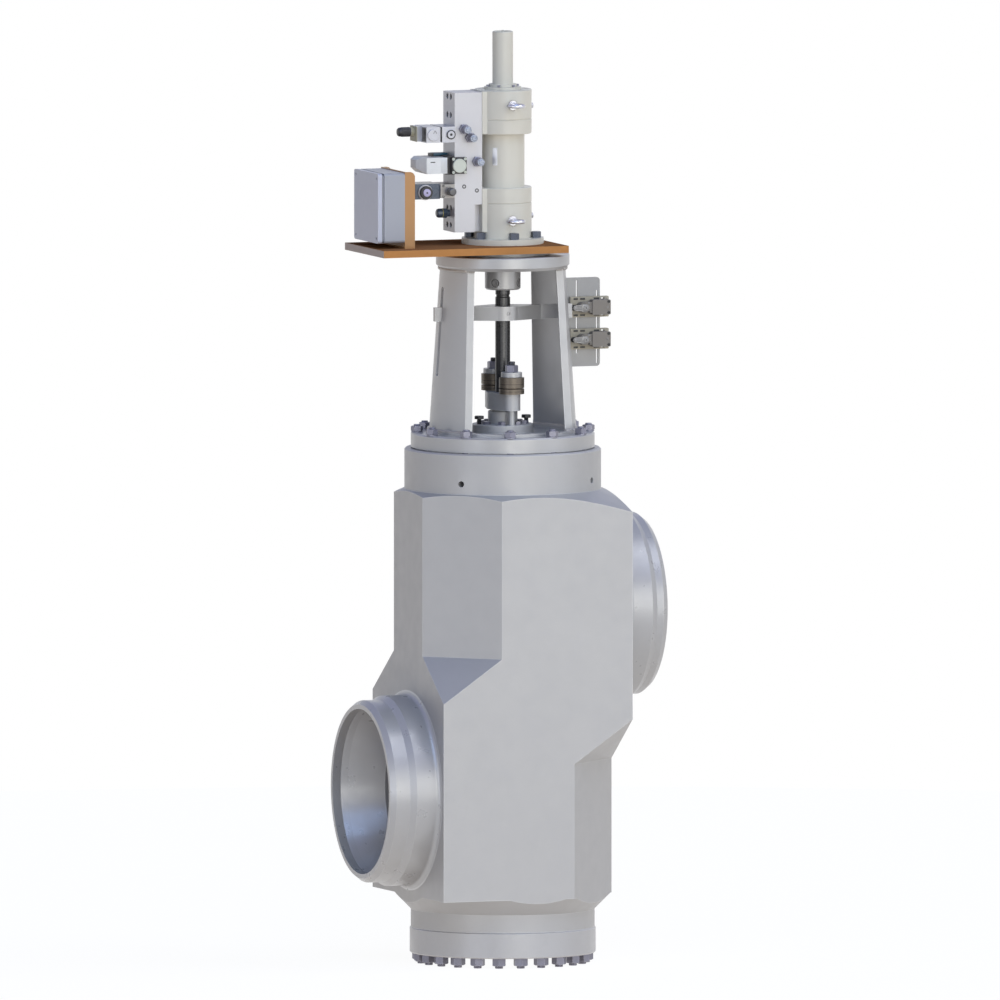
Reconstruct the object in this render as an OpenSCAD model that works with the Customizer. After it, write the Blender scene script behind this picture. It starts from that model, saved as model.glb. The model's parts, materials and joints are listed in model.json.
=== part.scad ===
// Control valve with offset butt-weld ends, a pressure-seal bonnet, a two-leg yoke
// and a hydraulic cylinder. Millimetres, Z up. The origin lies on the stem axis,
// level with the tips of the bottom studs. The inlet faces -X, the outlet +X,
// and the test fittings and knobs face -Y. The valve is drawn fully open.

/* [Bottom cover] */
// Length of stud that stands out below each bottom nut
stud_tip = 7; // [4:1:15]
// Height of each bottom nut
bottom_nut_h = 21.5; // [17:0.5:26]
// Width across the flats of the bottom nuts
bottom_nut_af = 36; // [34:1:40]
// Diameter of the bottom studs
bottom_stud_d = 24; // [20:1:26]
// Number of bottom studs
bottom_stud_n = 24; // [16:4:28]
// Diameter of the bottom stud circle
bottom_pcd = 466; // [462:1:472]
// Depth that each bottom stud is screwed into the neck
bottom_thread = 58; // [40:1:70]
// Diameter of the bottom cover
cover_d = 521; // [516:1:540]
// Thickness of the bottom cover
cover_t = 72.5; // [50:0.5:90]
// Height of the cover's spigot inside the neck
spigot_h = 40; // [20:1:60]
// Thickness of the flat gaskets
gasket_t = 4; // [3:0.5:6]

/* [Body] */
// Width of the body block along the pipe
block_w = 563.4; // [558:0.2:575]
// Depth of the body block across the pipe
block_depth = 582; // [566:0.5:590]
// Height of the body block, measured at its corners
block_h = 1081.2; // [1070:0.2:1110]
// Diameter of the round neck under the block
neck_d = 515; // [505:1:520]
// Height of the round part of the neck
neck_h = 50; // [40:1:65]
// Height of the 45 degree cone between neck and block
neck_cone_h = 45; // [30:1:55]
// Length of each corner cut along the block's face
corner_cut = 174; // [130:1:180]
// Height of the straight corner cuts under the outlet
outlet_cut_h = 378; // [330:1:400]
// Height of the straight corner cuts over the inlet
inlet_cut_h = 403; // [360:1:420]
// Height over which a corner cut runs out to the full corner
cut_runout = 122; // [90:1:140]
// Slope of the block's turned top
top_slope = 22.9; // [18:0.1:26]
// Diameter of the collar on top of the body
collar_d = 551; // [545:1:556]
// Height of the collar
collar_h = 114; // [110:1:125]
// Chamfer on the collar and flange edges
edge_chamfer = 4; // [2:0.5:6]

/* [Flow passage] */
// Height of the inlet centre above the bottom of the block
inlet_up = 294; // [290:1:300]
// Height of the outlet centre above the inlet centre
nozzle_step = 508; // [500:1:515]
// Diameter of the inlet and outlet ducts
duct_d = 380; // [350:2:390]
// Diameter of the lower chamber
chamber_d = 400; // [392:2:410]
// Diameter of the bore in the neck
neck_bore_d = 370; // [350:2:376]
// Diameter of the upper bore, which takes the bonnet
bore_d = 410; // [400:2:416]
// Diameter of the throat under the seat
throat_d = 240; // [220:2:250]
// Height of the throat under the seat pocket
throat_h = 70; // [50:1:90]
// Height of the cone between the lower chamber and the throat
throat_cone_h = 60; // [40:1:80]
// Height of the seat pocket floor above the inlet centre
pocket_up = 279; // [270:1:290]
// Depth of the seat pocket
pocket_h = 20; // [15:1:24]

/* [Weld ends] */
// Outer diameter of the weld ends
weld_od = 511; // [500:1:520]
// Bore of the weld ends
weld_bore_d = 463.4; // [450:0.2:470]
// Depth of the counterbore in each weld end
weld_recess = 25; // [20:1:40]
// Length of the ramp behind the counterbore
recess_ramp = 19; // [10:1:30]
// Bore at the end of that ramp
ramp_bore_d = 452; // [430:1:456]
// Length of the weld bevel
bevel_len = 15; // [10:1:18]
// Angle of the weld bevel
bevel_angle = 37.5; // [30:0.5:38]
// Length of the hub from the body block to its taper
hub_len = 69.3; // [60:0.1:75]
// Length of the taper from the pipe end to the hub
hub_taper = 17; // [10:1:22]
// Diameter of the hub
hub_d = 534; // [526:1:534]
// Radius where the hub meets the block
root_r = 14; // [8:1:14]
// Distance of the inlet end from the stem axis
inlet_reach = 423.5; // [415:0.5:440]
// Distance of the outlet end from the stem axis
outlet_reach = 403; // [398:0.5:420]

/* [Trim] */
// Lift of the plug from closed to fully open
travel_h = 90; // [60:1:100]
// Bore of the seat ring
seat_bore_d = 200; // [180:1:204]
// Outer diameter of the seat ring
seat_d = 300; // [290:1:320]
// Height of the seat ring
seat_h = 38; // [30:1:45]
// Inner diameter of the cage
cage_bore_d = 224; // [214:1:230]
// Wall of the cage
cage_wall = 30; // [20:1:32]
// Number of windows in the cage
window_n = 8; // [6:1:8]
// Width of a cage window
window_w = 50; // [30:1:54]
// Height of a cage window
window_h = 85; // [70:1:100]
// Height of the cage foot under the windows
cage_foot = 10; // [6:1:20]
// Height of the plug's cylinder
plug_h = 150; // [120:1:170]
// Depth of the plug's nose inside the seat ring when closed
nose_h = 10; // [6:1:14]
// Diameter of the plug's balance holes
balance_hole_d = 24; // [12:1:30]
// Diameter of the stem
stem_d = 42; // [36:1:44]
// Height of a sliding seal ring
seal_h = 8; // [6:1:12]

/* [Bonnet] */
// Height of the bonnet's plain rim
bonnet_rim_h = 48; // [40:1:60]
// Distance from the bonnet's underside to the collar's top
bonnet_depth = 206; // [200:1:210]
// Height of the cone that the pressure seal sits on
seal_cone_h = 30; // [24:1:34]
// Height of the pressure seal ring above that cone
seal_lip_h = 6; // [4:1:10]
// Diameter of the bonnet's hub inside the rings
bonnet_hub_d = 300; // [280:2:320]
// Diameter of the bonnet's neck
bonnet_neck_d = 140; // [136:1:150]
// Height of the spacer ring
spacer_h = 20; // [15:1:25]
// Height of the segment ring
segment_h = 36; // [30:1:38]
// Depth of the segment ring's groove in the body
segment_bite = 21; // [14:1:22]
// Width of the segment ring
segment_w = 41; // [34:1:44]
// Gap between two segments
segment_gap = 3; // [2:0.5:6]
// Diameter of the holes for pushing the segments out
push_hole_d = 18; // [12:1:22]

/* [Yoke] */
// Diameter of the yoke's base flange
yoke_base_d = 515; // [510:1:526]
// Thickness of the yoke's base flange
yoke_base_t = 44; // [36:1:54]
// Diameter of the yoke bolt circle
yoke_pcd = 482; // [478:1:484]
// Number of yoke bolts
yoke_bolt_n = 12; // [8:2:16]
// Diameter of the yoke bolts
yoke_bolt_d = 24; // [20:1:26]
// Height of the yoke bolt heads
yoke_head_h = 15; // [12:0.5:18]
// Depth of the yoke bolts in the collar
yoke_thread = 46; // [36:1:50]
// Height of the ring that the legs are welded to
weld_ring_h = 8; // [4:1:14]
// Height of the legs
leg_h = 454.3; // [440:0.1:475]
// Outer radius of the legs at their foot
leg_foot_r = 206.3; // [200:0.1:210]
// Outer radius of the legs at their top
leg_top_r = 175.7; // [170:0.1:180]
// Wall of the legs
leg_wall = 16; // [12:0.5:20]
// Half width of a leg at its foot
leg_foot_half = 130.7; // [120:0.1:135]
// Half width of a leg at its top
leg_top_half = 103.6; // [98:0.1:108]
// Width of the slot that guides the travel bar
slot_w = 20; // [18:0.5:24]
// Distance from the top of the legs to the top of the slot
slot_drop = 51.3; // [45:0.1:64]
// Length of the slot
slot_l = 250; // [240:1:270]
// Diameter of the yoke's head flange
yoke_head_d = 374; // [366:1:384]
// Thickness of the yoke's head flange
yoke_head_t = 37.7; // [30:0.1:45]
// Chamfer under the yoke's head flange
yoke_head_chamfer = 9; // [5:1:12]
// Diameter of the raised seat on the yoke's head
raised_d = 260; // [240:2:270]
// Height of the raised seat on the yoke's head
raised_h = 10; // [6:1:12]

/* [Packing] */
// Diameter of the packing box flange
pack_flange_d = 172; // [168:1:180]
// Thickness of the packing box flange
pack_flange_t = 23; // [18:1:28]
// Diameter of the packing box above and below its flange
pack_box_d = 83; // [80:1:88]
// Height of the packing box above its flange
pack_box_rise = 36; // [30:1:38]
// Depth of the packing box below its flange
pack_box_depth = 90; // [80:1:100]
// Outer diameter of the packing rings
pack_ring_d = 68; // [64:1:70]
// Height of one packing ring
pack_ring_h = 12; // [8:1:13]
// Number of packing rings
pack_ring_n = 6; // [4:1:6]
// Number of screws that hold the packing box
pack_screw_n = 8; // [6:2:8]
// Radius of their circle
pack_screw_r = 61; // [59:0.5:62]
// Diameter of these screws
pack_screw_d = 10; // [8:0.5:11]
// Length of their threads in the bonnet's neck
pack_screw_grip = 30; // [20:1:40]
// Height of their heads
pack_screw_head = 9; // [6:0.5:10]
// Radius at which the jack screws of the packing box sit
jack_r = 70; // [68:0.5:72]
// Diameter of the jack screws
jack_d = 13; // [11:0.5:14]
// Height at which a jack screw's head stands over the flange
jack_rise = 14; // [8:1:20]
// Gap between the packing box and the gland flange
gland_gap = 5.5; // [2:0.5:12]
// Thickness of the gland flange
gland_t = 47; // [30:1:52]
// Diameter of the gland flange's middle
gland_mid_d = 90; // [80:1:94]
// Diameter of the gland flange's ends
gland_end_d = 49; // [44:1:56]
// Distance of the gland studs from the stem axis
gland_stud_r = 73; // [72:0.5:75]
// Diameter of the gland studs
gland_stud_d = 20; // [16:1:20]
// Outer diameter of the disc springs
disc_d = 70.6; // [64:0.2:72]
// Thickness of one disc spring
disc_t = 3.5; // [3:0.1:4]
// Number of disc springs nested in one group
disc_nest = 4; // [2:1:5]
// Number of groups in one stack
disc_groups = 3; // [2:1:3]
// Height of a disc spring's cone
disc_rise = 1.4; // [1:0.1:2]
// Diameter of the washers over the disc springs
washer_d = 58.6; // [50:0.2:62]
// Thickness of those washers
washer_t = 13; // [8:1:15]
// Height of the gland nuts
gland_nut_h = 20; // [16:1:22]
// Width across the flats of the gland nuts
gland_nut_af = 32; // [30:1:34]

/* [Travel bar and switches] */
// Height of the travel bar
bar_h = 39.3; // [30:0.1:44]
// Thickness of the travel bar
bar_t = 16; // [12:1:17]
// Distance of each end of the bar from the stem axis
bar_reach = 204; // [200:1:208]
// Diameter of the bar's hub
bar_hub_d = 104; // [90:1:106]
// Distance of the thin ends of the bar's hub from the stem axis
bar_flank_x = 113; // [90:1:130]
// Distance from the bottom of the yoke's head to the middle of the bar
bar_drop = 128; // [123:1:136]
// Width of the switch plate beyond the leg's foot
plate_reach = 302; // [296:1:310]
// Height of the switch plate
plate_h = 250; // [230:1:270]
// Thickness of the switch plate
switch_plate_t = 6; // [4:1:8]
// Distance of the switch plate behind the stem axis
plate_back = 34; // [30:1:40]
// Distance of the inner slot of the switch plate from the stem axis
inner_slot_x = 233; // [228:1:240]
// Distance of the outer slot of the switch plate from the stem axis
outer_slot_x = 293; // [285:1:294]
// Length of the slots in the switch plate
plate_slot_l = 205; // [180:1:210]
// Width of the slots in the switch plate
plate_slot_w = 4.4; // [3:0.1:6]
// Corner radius of the switch plate
plate_corner = 10; // [5:1:16]
// Length of a limit switch
switch_l = 114; // [104:1:120]
// Height of a limit switch
switch_h = 58; // [50:1:64]
// Height of the housing in the middle of a switch
housing_h = 42; // [34:1:46]
// Distance of the lever pivot from the stem axis
pivot_x = 242; // [240:1:248]
// Radius of the lever's roller
roller_r = 8; // [6:0.5:9]
// Angle that a switch lever turns through
lever_turn = 25; // [10:1:30]

/* [Actuator] */
// Length of the actuator plate toward the inlet
plate_left = 412; // [405:1:415]
// Length of the actuator plate toward the outlet
plate_right = 139; // [132:1:150]
// Half width of the actuator plate
plate_half = 160; // [150:1:170]
// Thickness of the actuator plate
plate_t = 20; // [16:1:24]
// Diameter of the cylinder's base flange
cyl_flange_d = 230; // [224:1:240]
// Thickness of the cylinder's base flange
cyl_flange_t = 16; // [12:1:22]
// Diameter of the cylinder bolt circle
cyl_pcd = 190; // [188:1:194]
// Number of cylinder bolts
cyl_bolt_n = 6; // [4:2:8]
// Diameter of the cylinder bolts
cyl_bolt_d = 16; // [12:1:18]
// Diameter of the cylinder heads
head_d = 162; // [158:1:168]
// Height of the lower head above its flange
lower_head_h = 143; // [130:1:150]
// Height of the upper head
upper_head_h = 123.3; // [118:0.1:140]
// Length of the barrel between the heads
barrel_l = 150.3; // [144:0.1:160]
// Outer diameter of the barrel
barrel_d = 122; // [118:1:130]
// Bore of the barrel
barrel_bore = 100; // [90:1:104]
// Depth that the barrel sits in each head
barrel_seat = 15; // [10:1:20]
// Height of the piston
piston_h = 45; // [36:1:46]
// Diameter of the piston rod
rod_d = 40; // [34:1:42]
// Distance of the manifold's seat on the heads from the stem axis
head_flat = 78.5; // [74:0.5:79]
// Half width of the pads on the heads that carry the manifold
pad_half = 49.5; // [48:0.5:54]
// Diameter of the rod coupling
coupling_d = 100; // [90:1:102]
// Height of the rod coupling
coupling_h = 95; // [80:1:100]
// Distance that the coupling hangs below the yoke's head
coupling_drop = 62.3; // [55:0.1:70]
// Distance of the upper eye bolt below the top of its head
eye_drop = 40; // [34:1:60]
// Distance of the lower eye bolt above the base flange
eye_rise = 52; // [36:1:70]
// Height of the coupling's screws above its lower end
coupling_screw_up = 20; // [18:1:28]
// Radius of the spot faces for those screws
coupling_spot_r = 12.2; // [10:0.1:13]
// Number of screws in the upper head
head_screw_n = 6; // [4:1:8]
// Radius of their circle
head_screw_r = 66; // [64:0.5:70]
// Diameter of the position sensor's flange
sensor_flange_d = 120; // [100:1:124]
// Thickness of the position sensor's flange
sensor_flange_t = 7; // [6:1:10]
// Diameter of the sensor housing
sensor_d = 58; // [50:1:64]
// Height of the sensor housing
sensor_h = 147.4; // [130:0.1:160]
// Diameter of the sensor rod
sensor_rod_d = 10; // [8:1:12]

/* [Manifold] */
// Length of the manifold block along X
manifold_x = 81.5; // [78:0.5:90]
// Width of the manifold block along Y
manifold_y = 94; // [88:1:100]
// Height of the manifold block
manifold_h = 391.9; // [385:0.1:400]
// Distance of the manifold's top below the top of the upper head
manifold_drop = 4; // [0:1:8]
// Height of the relieved part at the foot of the manifold
relief_h = 77; // [60:1:85]
// Distance of the solenoid valve below the top of the manifold
solenoid_drop = 115.7; // [105:0.1:125]
// Distance of the servo valve below the top of the manifold
servo_drop = 203; // [195:1:210]
// Distance of the flow valve below the top of the manifold
flow_drop = 275; // [270:1:285]
// Distance of the two columns of manifold screws from the middle
screw_column = 14; // [12:0.5:18]
// Diameter of the manifold screws
manifold_screw_d = 10; // [8:1:12]
// Diameter of the hydraulic ports
port_d = 19; // [16:0.5:22]
// Depth of the hydraulic ports
port_depth = 18; // [14:1:22]
// Distance of the two ports from the stem axis
port_x = 120; // [110:1:130]
// Depths of the two ports under the manifold's top
port_drops = [60, 130]; // [30:1:160]

/* [Junction box] */
// Size of the junction box along Y and Z
box_w = 196; // [180:2:204]
// Depth of the junction box body
box_depth = 61; // [50:1:70]
// Depth of the seam between box and lid
box_seam = 5; // [3:1:8]
// Thickness of the lid
lid_t = 14; // [10:1:18]
// Corner radius of the box
box_corner = 8; // [4:1:12]
// Clearance under the junction box
box_lift = 16; // [10:1:24]
// Distance of the lid from the end of the plate
box_inset = 5; // [2:1:10]
// Thickness of the bracket's sheet
bracket_t = 5; // [4:1:8]
// Depth of the bracket's flanges
bracket_flange = 30; // [24:1:36]
// Diameter of the cable entry
cable_entry_d = 25; // [20:1:32]

/* [Clearances] */
// Radial clearance of a sliding fit
run_gap = 0.08; // [0.03:0.01:0.1]
// Clearance between pieces that are seated together
seat_gap = 0.2; // [0.1:0.05:0.3]
// Radial clearance of a plain hole
hole_gap = 1; // [0.5:0.1:1.5]

/* [Hidden] */
$fn = 64;

// Heights from the stud tips up to the collar
cover_z = stud_tip + bottom_nut_h;
neck_z = cover_z + cover_t;
block_z = neck_z + neck_h + neck_cone_h;
corner_z = block_z + block_h;
half_w = block_w / 2;
half_d = block_depth / 2;
corner_u = (half_w + half_d) / sqrt(2);
corner_r = sqrt(half_w * half_w + half_d * half_d);
cut_u = corner_u - corner_cut / sqrt(2);
collar_base_r = collar_d / 2 + 0.5;
collar_z = corner_z + (corner_r - collar_base_r) * tan(top_slope);
collar_top = collar_z + collar_h;

// Heights of the flow passage
inlet_z = block_z + inlet_up;
outlet_z = inlet_z + nozzle_step;
pocket_z = inlet_z + pocket_up;
bridge_z = pocket_z + pocket_h;
throat_z = pocket_z - throat_h;
chamber_cone_z = throat_z - throat_cone_h;

// Heights of the trim, with the plug fully open
seat_z = pocket_z + gasket_t;
seat_top = seat_z + seat_h;
plug_z = seat_top + seat_gap + travel_h;
plug_top = plug_z + plug_h;
plug_d = cage_bore_d - 2 * run_gap;
stem_socket = 60;
stem_z = plug_top - stem_socket;

// Heights of the bonnet and its rings
bonnet_z = collar_top - bonnet_depth;
rim_top = bonnet_z + bonnet_rim_h;
cone_top = rim_top + seal_cone_h;
seal_top = cone_top + seal_lip_h;
spacer_top = seal_top + spacer_h;
segment_top = spacer_top + segment_h;
bonnet_r = bore_d / 2 - seat_gap;
cone_top_r = bonnet_r - seal_cone_h;

// Heights of the yoke
yoke_top = collar_top + yoke_base_t;
leg_z = yoke_top + weld_ring_h;
leg_top = leg_z + leg_h;
slot_top = leg_top - slot_drop;
slot_z = slot_top - slot_l;
head_top = leg_top + yoke_head_t;
seat_plane = head_top + raised_h;
leg_slope = (leg_foot_r - leg_top_r) / leg_h;

// Heights of the packing
pack_top = yoke_top + pack_flange_t;
box_top = pack_top + pack_box_rise;
box_floor = yoke_top - pack_box_depth;
floor_t = 8;
rings_z = box_floor + floor_t;
rings_top = rings_z + pack_ring_n * pack_ring_h;
gland_z = box_top + gland_gap;
gland_top = gland_z + gland_t;
disc_pitch = disc_t + 0.1;
group_h = disc_nest * disc_pitch + disc_rise + 0.1;
discs_top = gland_top + disc_groups * group_h;
washers_top = discs_top + washer_t;
gland_nut_top = washers_top + gland_nut_h;
gland_stud_top = gland_nut_top + 10;

// Heights of the actuator
plate_top = seat_plane + plate_t;
flange_top = plate_top + cyl_flange_t;
lower_head_top = flange_top + lower_head_h;
upper_head_z = lower_head_top + barrel_l;
upper_head_top = upper_head_z + upper_head_h;
boss_h = 15;
screw_sink = 8;
boss_d = barrel_bore - 2 * seat_gap;
piston_top = upper_head_z + 21 - 10;
piston_z = piston_top - piston_h;
spot_y = head_d / 2 - 2.5;
high_eye_z = upper_head_top - eye_drop;
low_eye_z = flange_top + eye_rise;
coupling_z = leg_top - coupling_drop;
coupling_top = coupling_z + coupling_h;
rod_end_z = coupling_z + coupling_h / 2;
sensor_top = upper_head_top + sensor_flange_t + 8;

// Places of the travel bar and the switches
bar_z = leg_top - bar_drop - bar_h / 2;
bar_mid = bar_z + bar_h / 2;
switch_top_z = bar_mid + 7;
switch_low_z = switch_top_z - travel_h;
lever_arm = pivot_x - bar_reach - roller_r - 1;
plate_mid = (switch_top_z + switch_low_z) / 2 + 2;

// Places of the manifold
manifold_top = upper_head_top - manifold_drop;
manifold_z = manifold_top - manifold_h;
manifold_left = head_flat + manifold_x;
manifold_front = manifold_y / 2;
screw_rise = [12.7, 64.1, 325.1, 372.9];
solenoid_z = manifold_top - solenoid_drop;
cap_y = 20;
cap_level = solenoid_z + 5;
servo_z = manifold_top - servo_drop;
flow_z = manifold_top - flow_drop;
manifold_foot_z = manifold_z + 52;
coupling_places = [[-133, 101.6], [-115, 125.6], [-94, 193.6]];
flow_knob_x = 86;
relief_knob_x = 17;
// Radius of the stems of both knobs
knob_stem_r = 5; // [4:0.5:6]
// Reach of the flow valve from the manifold
flow_l = 115; // [112:1:130]
// Thickness of the plate between flow valve and manifold
flow_plate_t = 42; // [38:1:50]
// Distance of the flow valve behind the manifold's front
flow_back = 7; // [4:1:10]

// Places of the junction box
lid_x = plate_left - box_inset;
box_x = lid_x - lid_t - box_seam;
bracket_x = box_x - box_depth;
box_z = plate_top + box_lift;

// Colours
forged = [0.76, 0.77, 0.79];
machined = [0.80, 0.81, 0.83];
bluish = [0.66, 0.67, 0.74];
dark_steel = [0.30, 0.30, 0.31];
cream = [0.80, 0.79, 0.75];
copper = [0.85, 0.60, 0.38];
pale = [0.93, 0.93, 0.93];
black = [0.10, 0.10, 0.11];
bronze = [0.45, 0.38, 0.32];
graphite = [0.22, 0.22, 0.23];
box_grey = [0.72, 0.74, 0.77];
switch_brown = [0.50, 0.47, 0.45];

// Copies of the children on a circle of radius r, the first at the angle start
module on_circle(n, r, start = 0) {
    for (i = [0 : n - 1]) rotate(start + i * 360 / n) translate([r, 0, 0]) children();
}

// Tube between two heights
module tube(r_out, r_in, z0, z1) {
    difference() {
        translate([0, 0, z0]) cylinder(r = r_out, h = z1 - z0);
        translate([0, 0, z0 - 1]) cylinder(r = r_in, h = z1 - z0 + 2);
    }
}

// Rod between two heights
module rod(r, z0, z1) {
    translate([0, 0, z0]) cylinder(r = r, h = z1 - z0);
}

// Rod with a chamfer at its upper end
module tipped_rod(r, z0, z1, tip) {
    rotate_extrude() polygon([[0, z0], [r, z0], [r, z1 - tip], [r - tip, z1], [0, z1]]);
}

// Hexagonal prism with turned corners, between two heights
module hex_block(af, z0, z1) {
    corner = af / sqrt(3);
    turn = 0.12 * af;
    intersection() {
        translate([0, 0, z0]) cylinder(r = corner, h = z1 - z0, $fn = 6);
        rotate_extrude() polygon([[0, z0], [corner * 0.94, z0], [corner + 0.1, z0 + turn / 2],
            [corner + 0.1, z1 - turn / 2], [corner * 0.94, z1], [0, z1]]);
    }
}

// Hexagon nut between two heights
module hex_nut(af, bore_r, z0, z1) {
    difference() {
        hex_block(af, z0, z1);
        rod(bore_r, z0 - 1, z1 + 1);
    }
}

// Hexagon head screw: shank from z0 to z1, head above z1
module hex_screw(d, af, head, z0, z1) {
    rod(d / 2, z0, z1);
    hex_block(af, z1, z1 + head);
}

// Socket head screw: shank from z0 to z1, head above z1 with a hexagon socket
module socket_screw(d, z0, z1) {
    rod(d / 2, z0, z1);
    difference() {
        rod(d * 0.75, z1, z1 + d);
        translate([0, 0, z1 + d * 0.5]) cylinder(r = d * 0.46, h = d, $fn = 6);
    }
}

// Plate in X and Z with rounded corners, from y to y + t
module rounded_plate_xz(x0, x1, z0, z1, y, t, r) {
    translate([0, y + t, 0]) rotate([90, 0, 0]) linear_extrude(height = t) rounded_outline(x0, x1, z0, z1, r);
}

// Rectangle with four round corners
module rounded_outline(x0, x1, y0, y1, r) {
    translate([x0 + r, y0]) square([x1 - x0 - 2 * r, y1 - y0]);
    translate([x0, y0 + r]) square([x1 - x0, y1 - y0 - 2 * r]);
    for (x = [x0 + r, x1 - r], y = [y0 + r, y1 - r]) translate([x, y]) circle(r = r);
}

// Box in X, Y and Z given by its two corners
module block(low, high) {
    translate(low) cube(high - low);
}

// Wedge that takes off a vertical corner at the angle a, from z_far to z_end,
// and then runs out to the full corner
module corner_wedge(a, z_far, z_end, z_apex) {
    over = 30;
    rise = (z_apex - z_end) / (corner_u - cut_u);
    rotate([0, 0, a]) rotate([90, 0, 0]) linear_extrude(height = 3 * half_d, center = true)
        polygon([[cut_u, z_far], [cut_u, z_end], [corner_u + over, z_apex + over * rise],
            [corner_u + over, z_far]]);
}

// Forged body: block with cut corners, turned neck, top and collar, and the flow passage
module body_forging() {
    out_r = corner_r + 2;
    groove_r = bore_d / 2 + segment_bite;
    color(forged) difference() {
        intersection() {
            translate([-half_w, -half_d, neck_z]) cube([block_w, block_depth, collar_top - neck_z]);
            rotate_extrude() polygon([[0, neck_z], [neck_d / 2, neck_z],
                [neck_d / 2, neck_z + neck_h], [neck_d / 2 + neck_cone_h, block_z],
                [out_r, block_z], [out_r, collar_z - (out_r - collar_base_r) * tan(top_slope)],
                [collar_base_r, collar_z], [collar_d / 2, collar_z],
                [collar_d / 2, collar_top - edge_chamfer],
                [collar_d / 2 - edge_chamfer, collar_top], [0, collar_top]]);
        }
        for (a = [45, -45]) corner_wedge(a, neck_z - 1, block_z + outlet_cut_h,
            block_z + outlet_cut_h + cut_runout);
        for (a = [135, -135]) corner_wedge(a, collar_top + 1, corner_z - inlet_cut_h,
            corner_z - inlet_cut_h - cut_runout);
        rotate_extrude() polygon([[0, neck_z - 1], [neck_bore_d / 2, neck_z - 1],
            [neck_bore_d / 2, neck_z + neck_h], [chamber_d / 2, neck_z + neck_h + 20],
            [chamber_d / 2, chamber_cone_z], [throat_d / 2, throat_z], [throat_d / 2, pocket_z],
            [seat_d / 2, pocket_z], [seat_d / 2, bridge_z], [bore_d / 2, bridge_z],
            [bore_d / 2, spacer_top], [groove_r, spacer_top], [groove_r, segment_top],
            [bore_d / 2, segment_top], [bore_d / 2, collar_top + 1], [0, collar_top + 1]]);
        rod(neck_bore_d / 2 + 21, neck_z - 1, neck_z + gasket_t);
        translate([-half_w - 1, 0, inlet_z]) rotate([0, 90, 0]) cylinder(d = duct_d, h = half_w + 1);
        translate([0, 0, outlet_z]) rotate([0, 90, 0]) cylinder(d = duct_d, h = half_w + 1);
        on_circle(bottom_stud_n, bottom_pcd / 2, 180 / bottom_stud_n)
            rod(bottom_stud_d / 2 + seat_gap, neck_z - 1, neck_z + bottom_thread + 3);
        on_circle(yoke_bolt_n, yoke_pcd / 2, 180 / yoke_bolt_n)
            rod(yoke_bolt_d / 2 + seat_gap, collar_top - yoke_thread - 3, collar_top + 1);
        for (a = [45 : 90 : 315]) rotate([0, 0, a]) translate([groove_r - 5, 0, spacer_top + segment_h / 2])
            rotate([0, 90, 0]) cylinder(d = push_hole_d, h = 80);
    }
}

// Butt-weld end, its axis along Z from the block's face to its land at the given reach
module weld_end(reach) {
    weld_r = weld_od / 2;
    land_r = weld_r - bevel_len * tan(bevel_angle);
    hub_end = half_w + hub_len;
    steps = 6;
    root = [for (i = [0 : steps]) let (a = 90 * i / steps)
        [hub_d / 2 + root_r * (1 - sin(a)), half_w + root_r * (1 - cos(a))]];
    rotate_extrude() polygon(concat([[duct_d / 2, half_w]], root, [[hub_d / 2, hub_end],
        [weld_r, hub_end + hub_taper], [weld_r, reach - bevel_len], [land_r, reach],
        [weld_bore_d / 2, reach], [weld_bore_d / 2, reach - weld_recess],
        [ramp_bore_d / 2, reach - weld_recess - recess_ramp]]));
}

module inlet_nozzle() {
    color(forged) translate([0, 0, inlet_z]) rotate([0, -90, 0]) weld_end(inlet_reach);
}

module outlet_nozzle() {
    color(forged) translate([0, 0, outlet_z]) rotate([0, 90, 0]) weld_end(outlet_reach);
}

// Cover that closes the bottom of the body, with a spigot in the neck
module bottom_cover() {
    r = cover_d / 2;
    spigot_r = neck_bore_d / 2 - seat_gap;
    chamfer = 3;
    color(forged) difference() {
        rotate_extrude() polygon([[0, cover_z], [r - chamfer, cover_z], [r, cover_z + chamfer],
            [r, neck_z - chamfer], [r - chamfer, neck_z], [spigot_r, neck_z],
            [spigot_r, neck_z + spigot_h], [0, neck_z + spigot_h]]);
        on_circle(bottom_stud_n, bottom_pcd / 2, 180 / bottom_stud_n)
            rod(bottom_stud_d / 2 + hole_gap, cover_z - 1, neck_z + 1);
    }
}

// Flat rings that seal the bottom cover and the seat ring
module gaskets() {
    color(graphite) {
        tube(neck_bore_d / 2 + 20, neck_bore_d / 2 + 1, neck_z, neck_z + gasket_t - 0.1);
        tube(seat_d / 2 - 1, throat_d / 2 + 1, pocket_z, seat_z);
    }
}

module bottom_studs() {
    color(bluish) on_circle(bottom_stud_n, bottom_pcd / 2, 180 / bottom_stud_n) mirror([0, 0, 1])
        tipped_rod(bottom_stud_d / 2, -neck_z - bottom_thread, 0, 2);
}

module bottom_nuts() {
    color(bluish) on_circle(bottom_stud_n, bottom_pcd / 2, 180 / bottom_stud_n)
        hex_nut(bottom_nut_af, bottom_stud_d / 2 + seat_gap, stud_tip, cover_z);
}

// Seat ring, clamped in its pocket by the cage
module seat_ring() {
    bore_r = seat_bore_d / 2;
    out_r = seat_d / 2 - seat_gap;
    lead = 20;
    color(machined) rotate_extrude() polygon([[bore_r + lead / 2, seat_z], [out_r, seat_z],
        [out_r, seat_top], [bore_r, seat_top], [bore_r, seat_z + lead]]);
}

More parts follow.
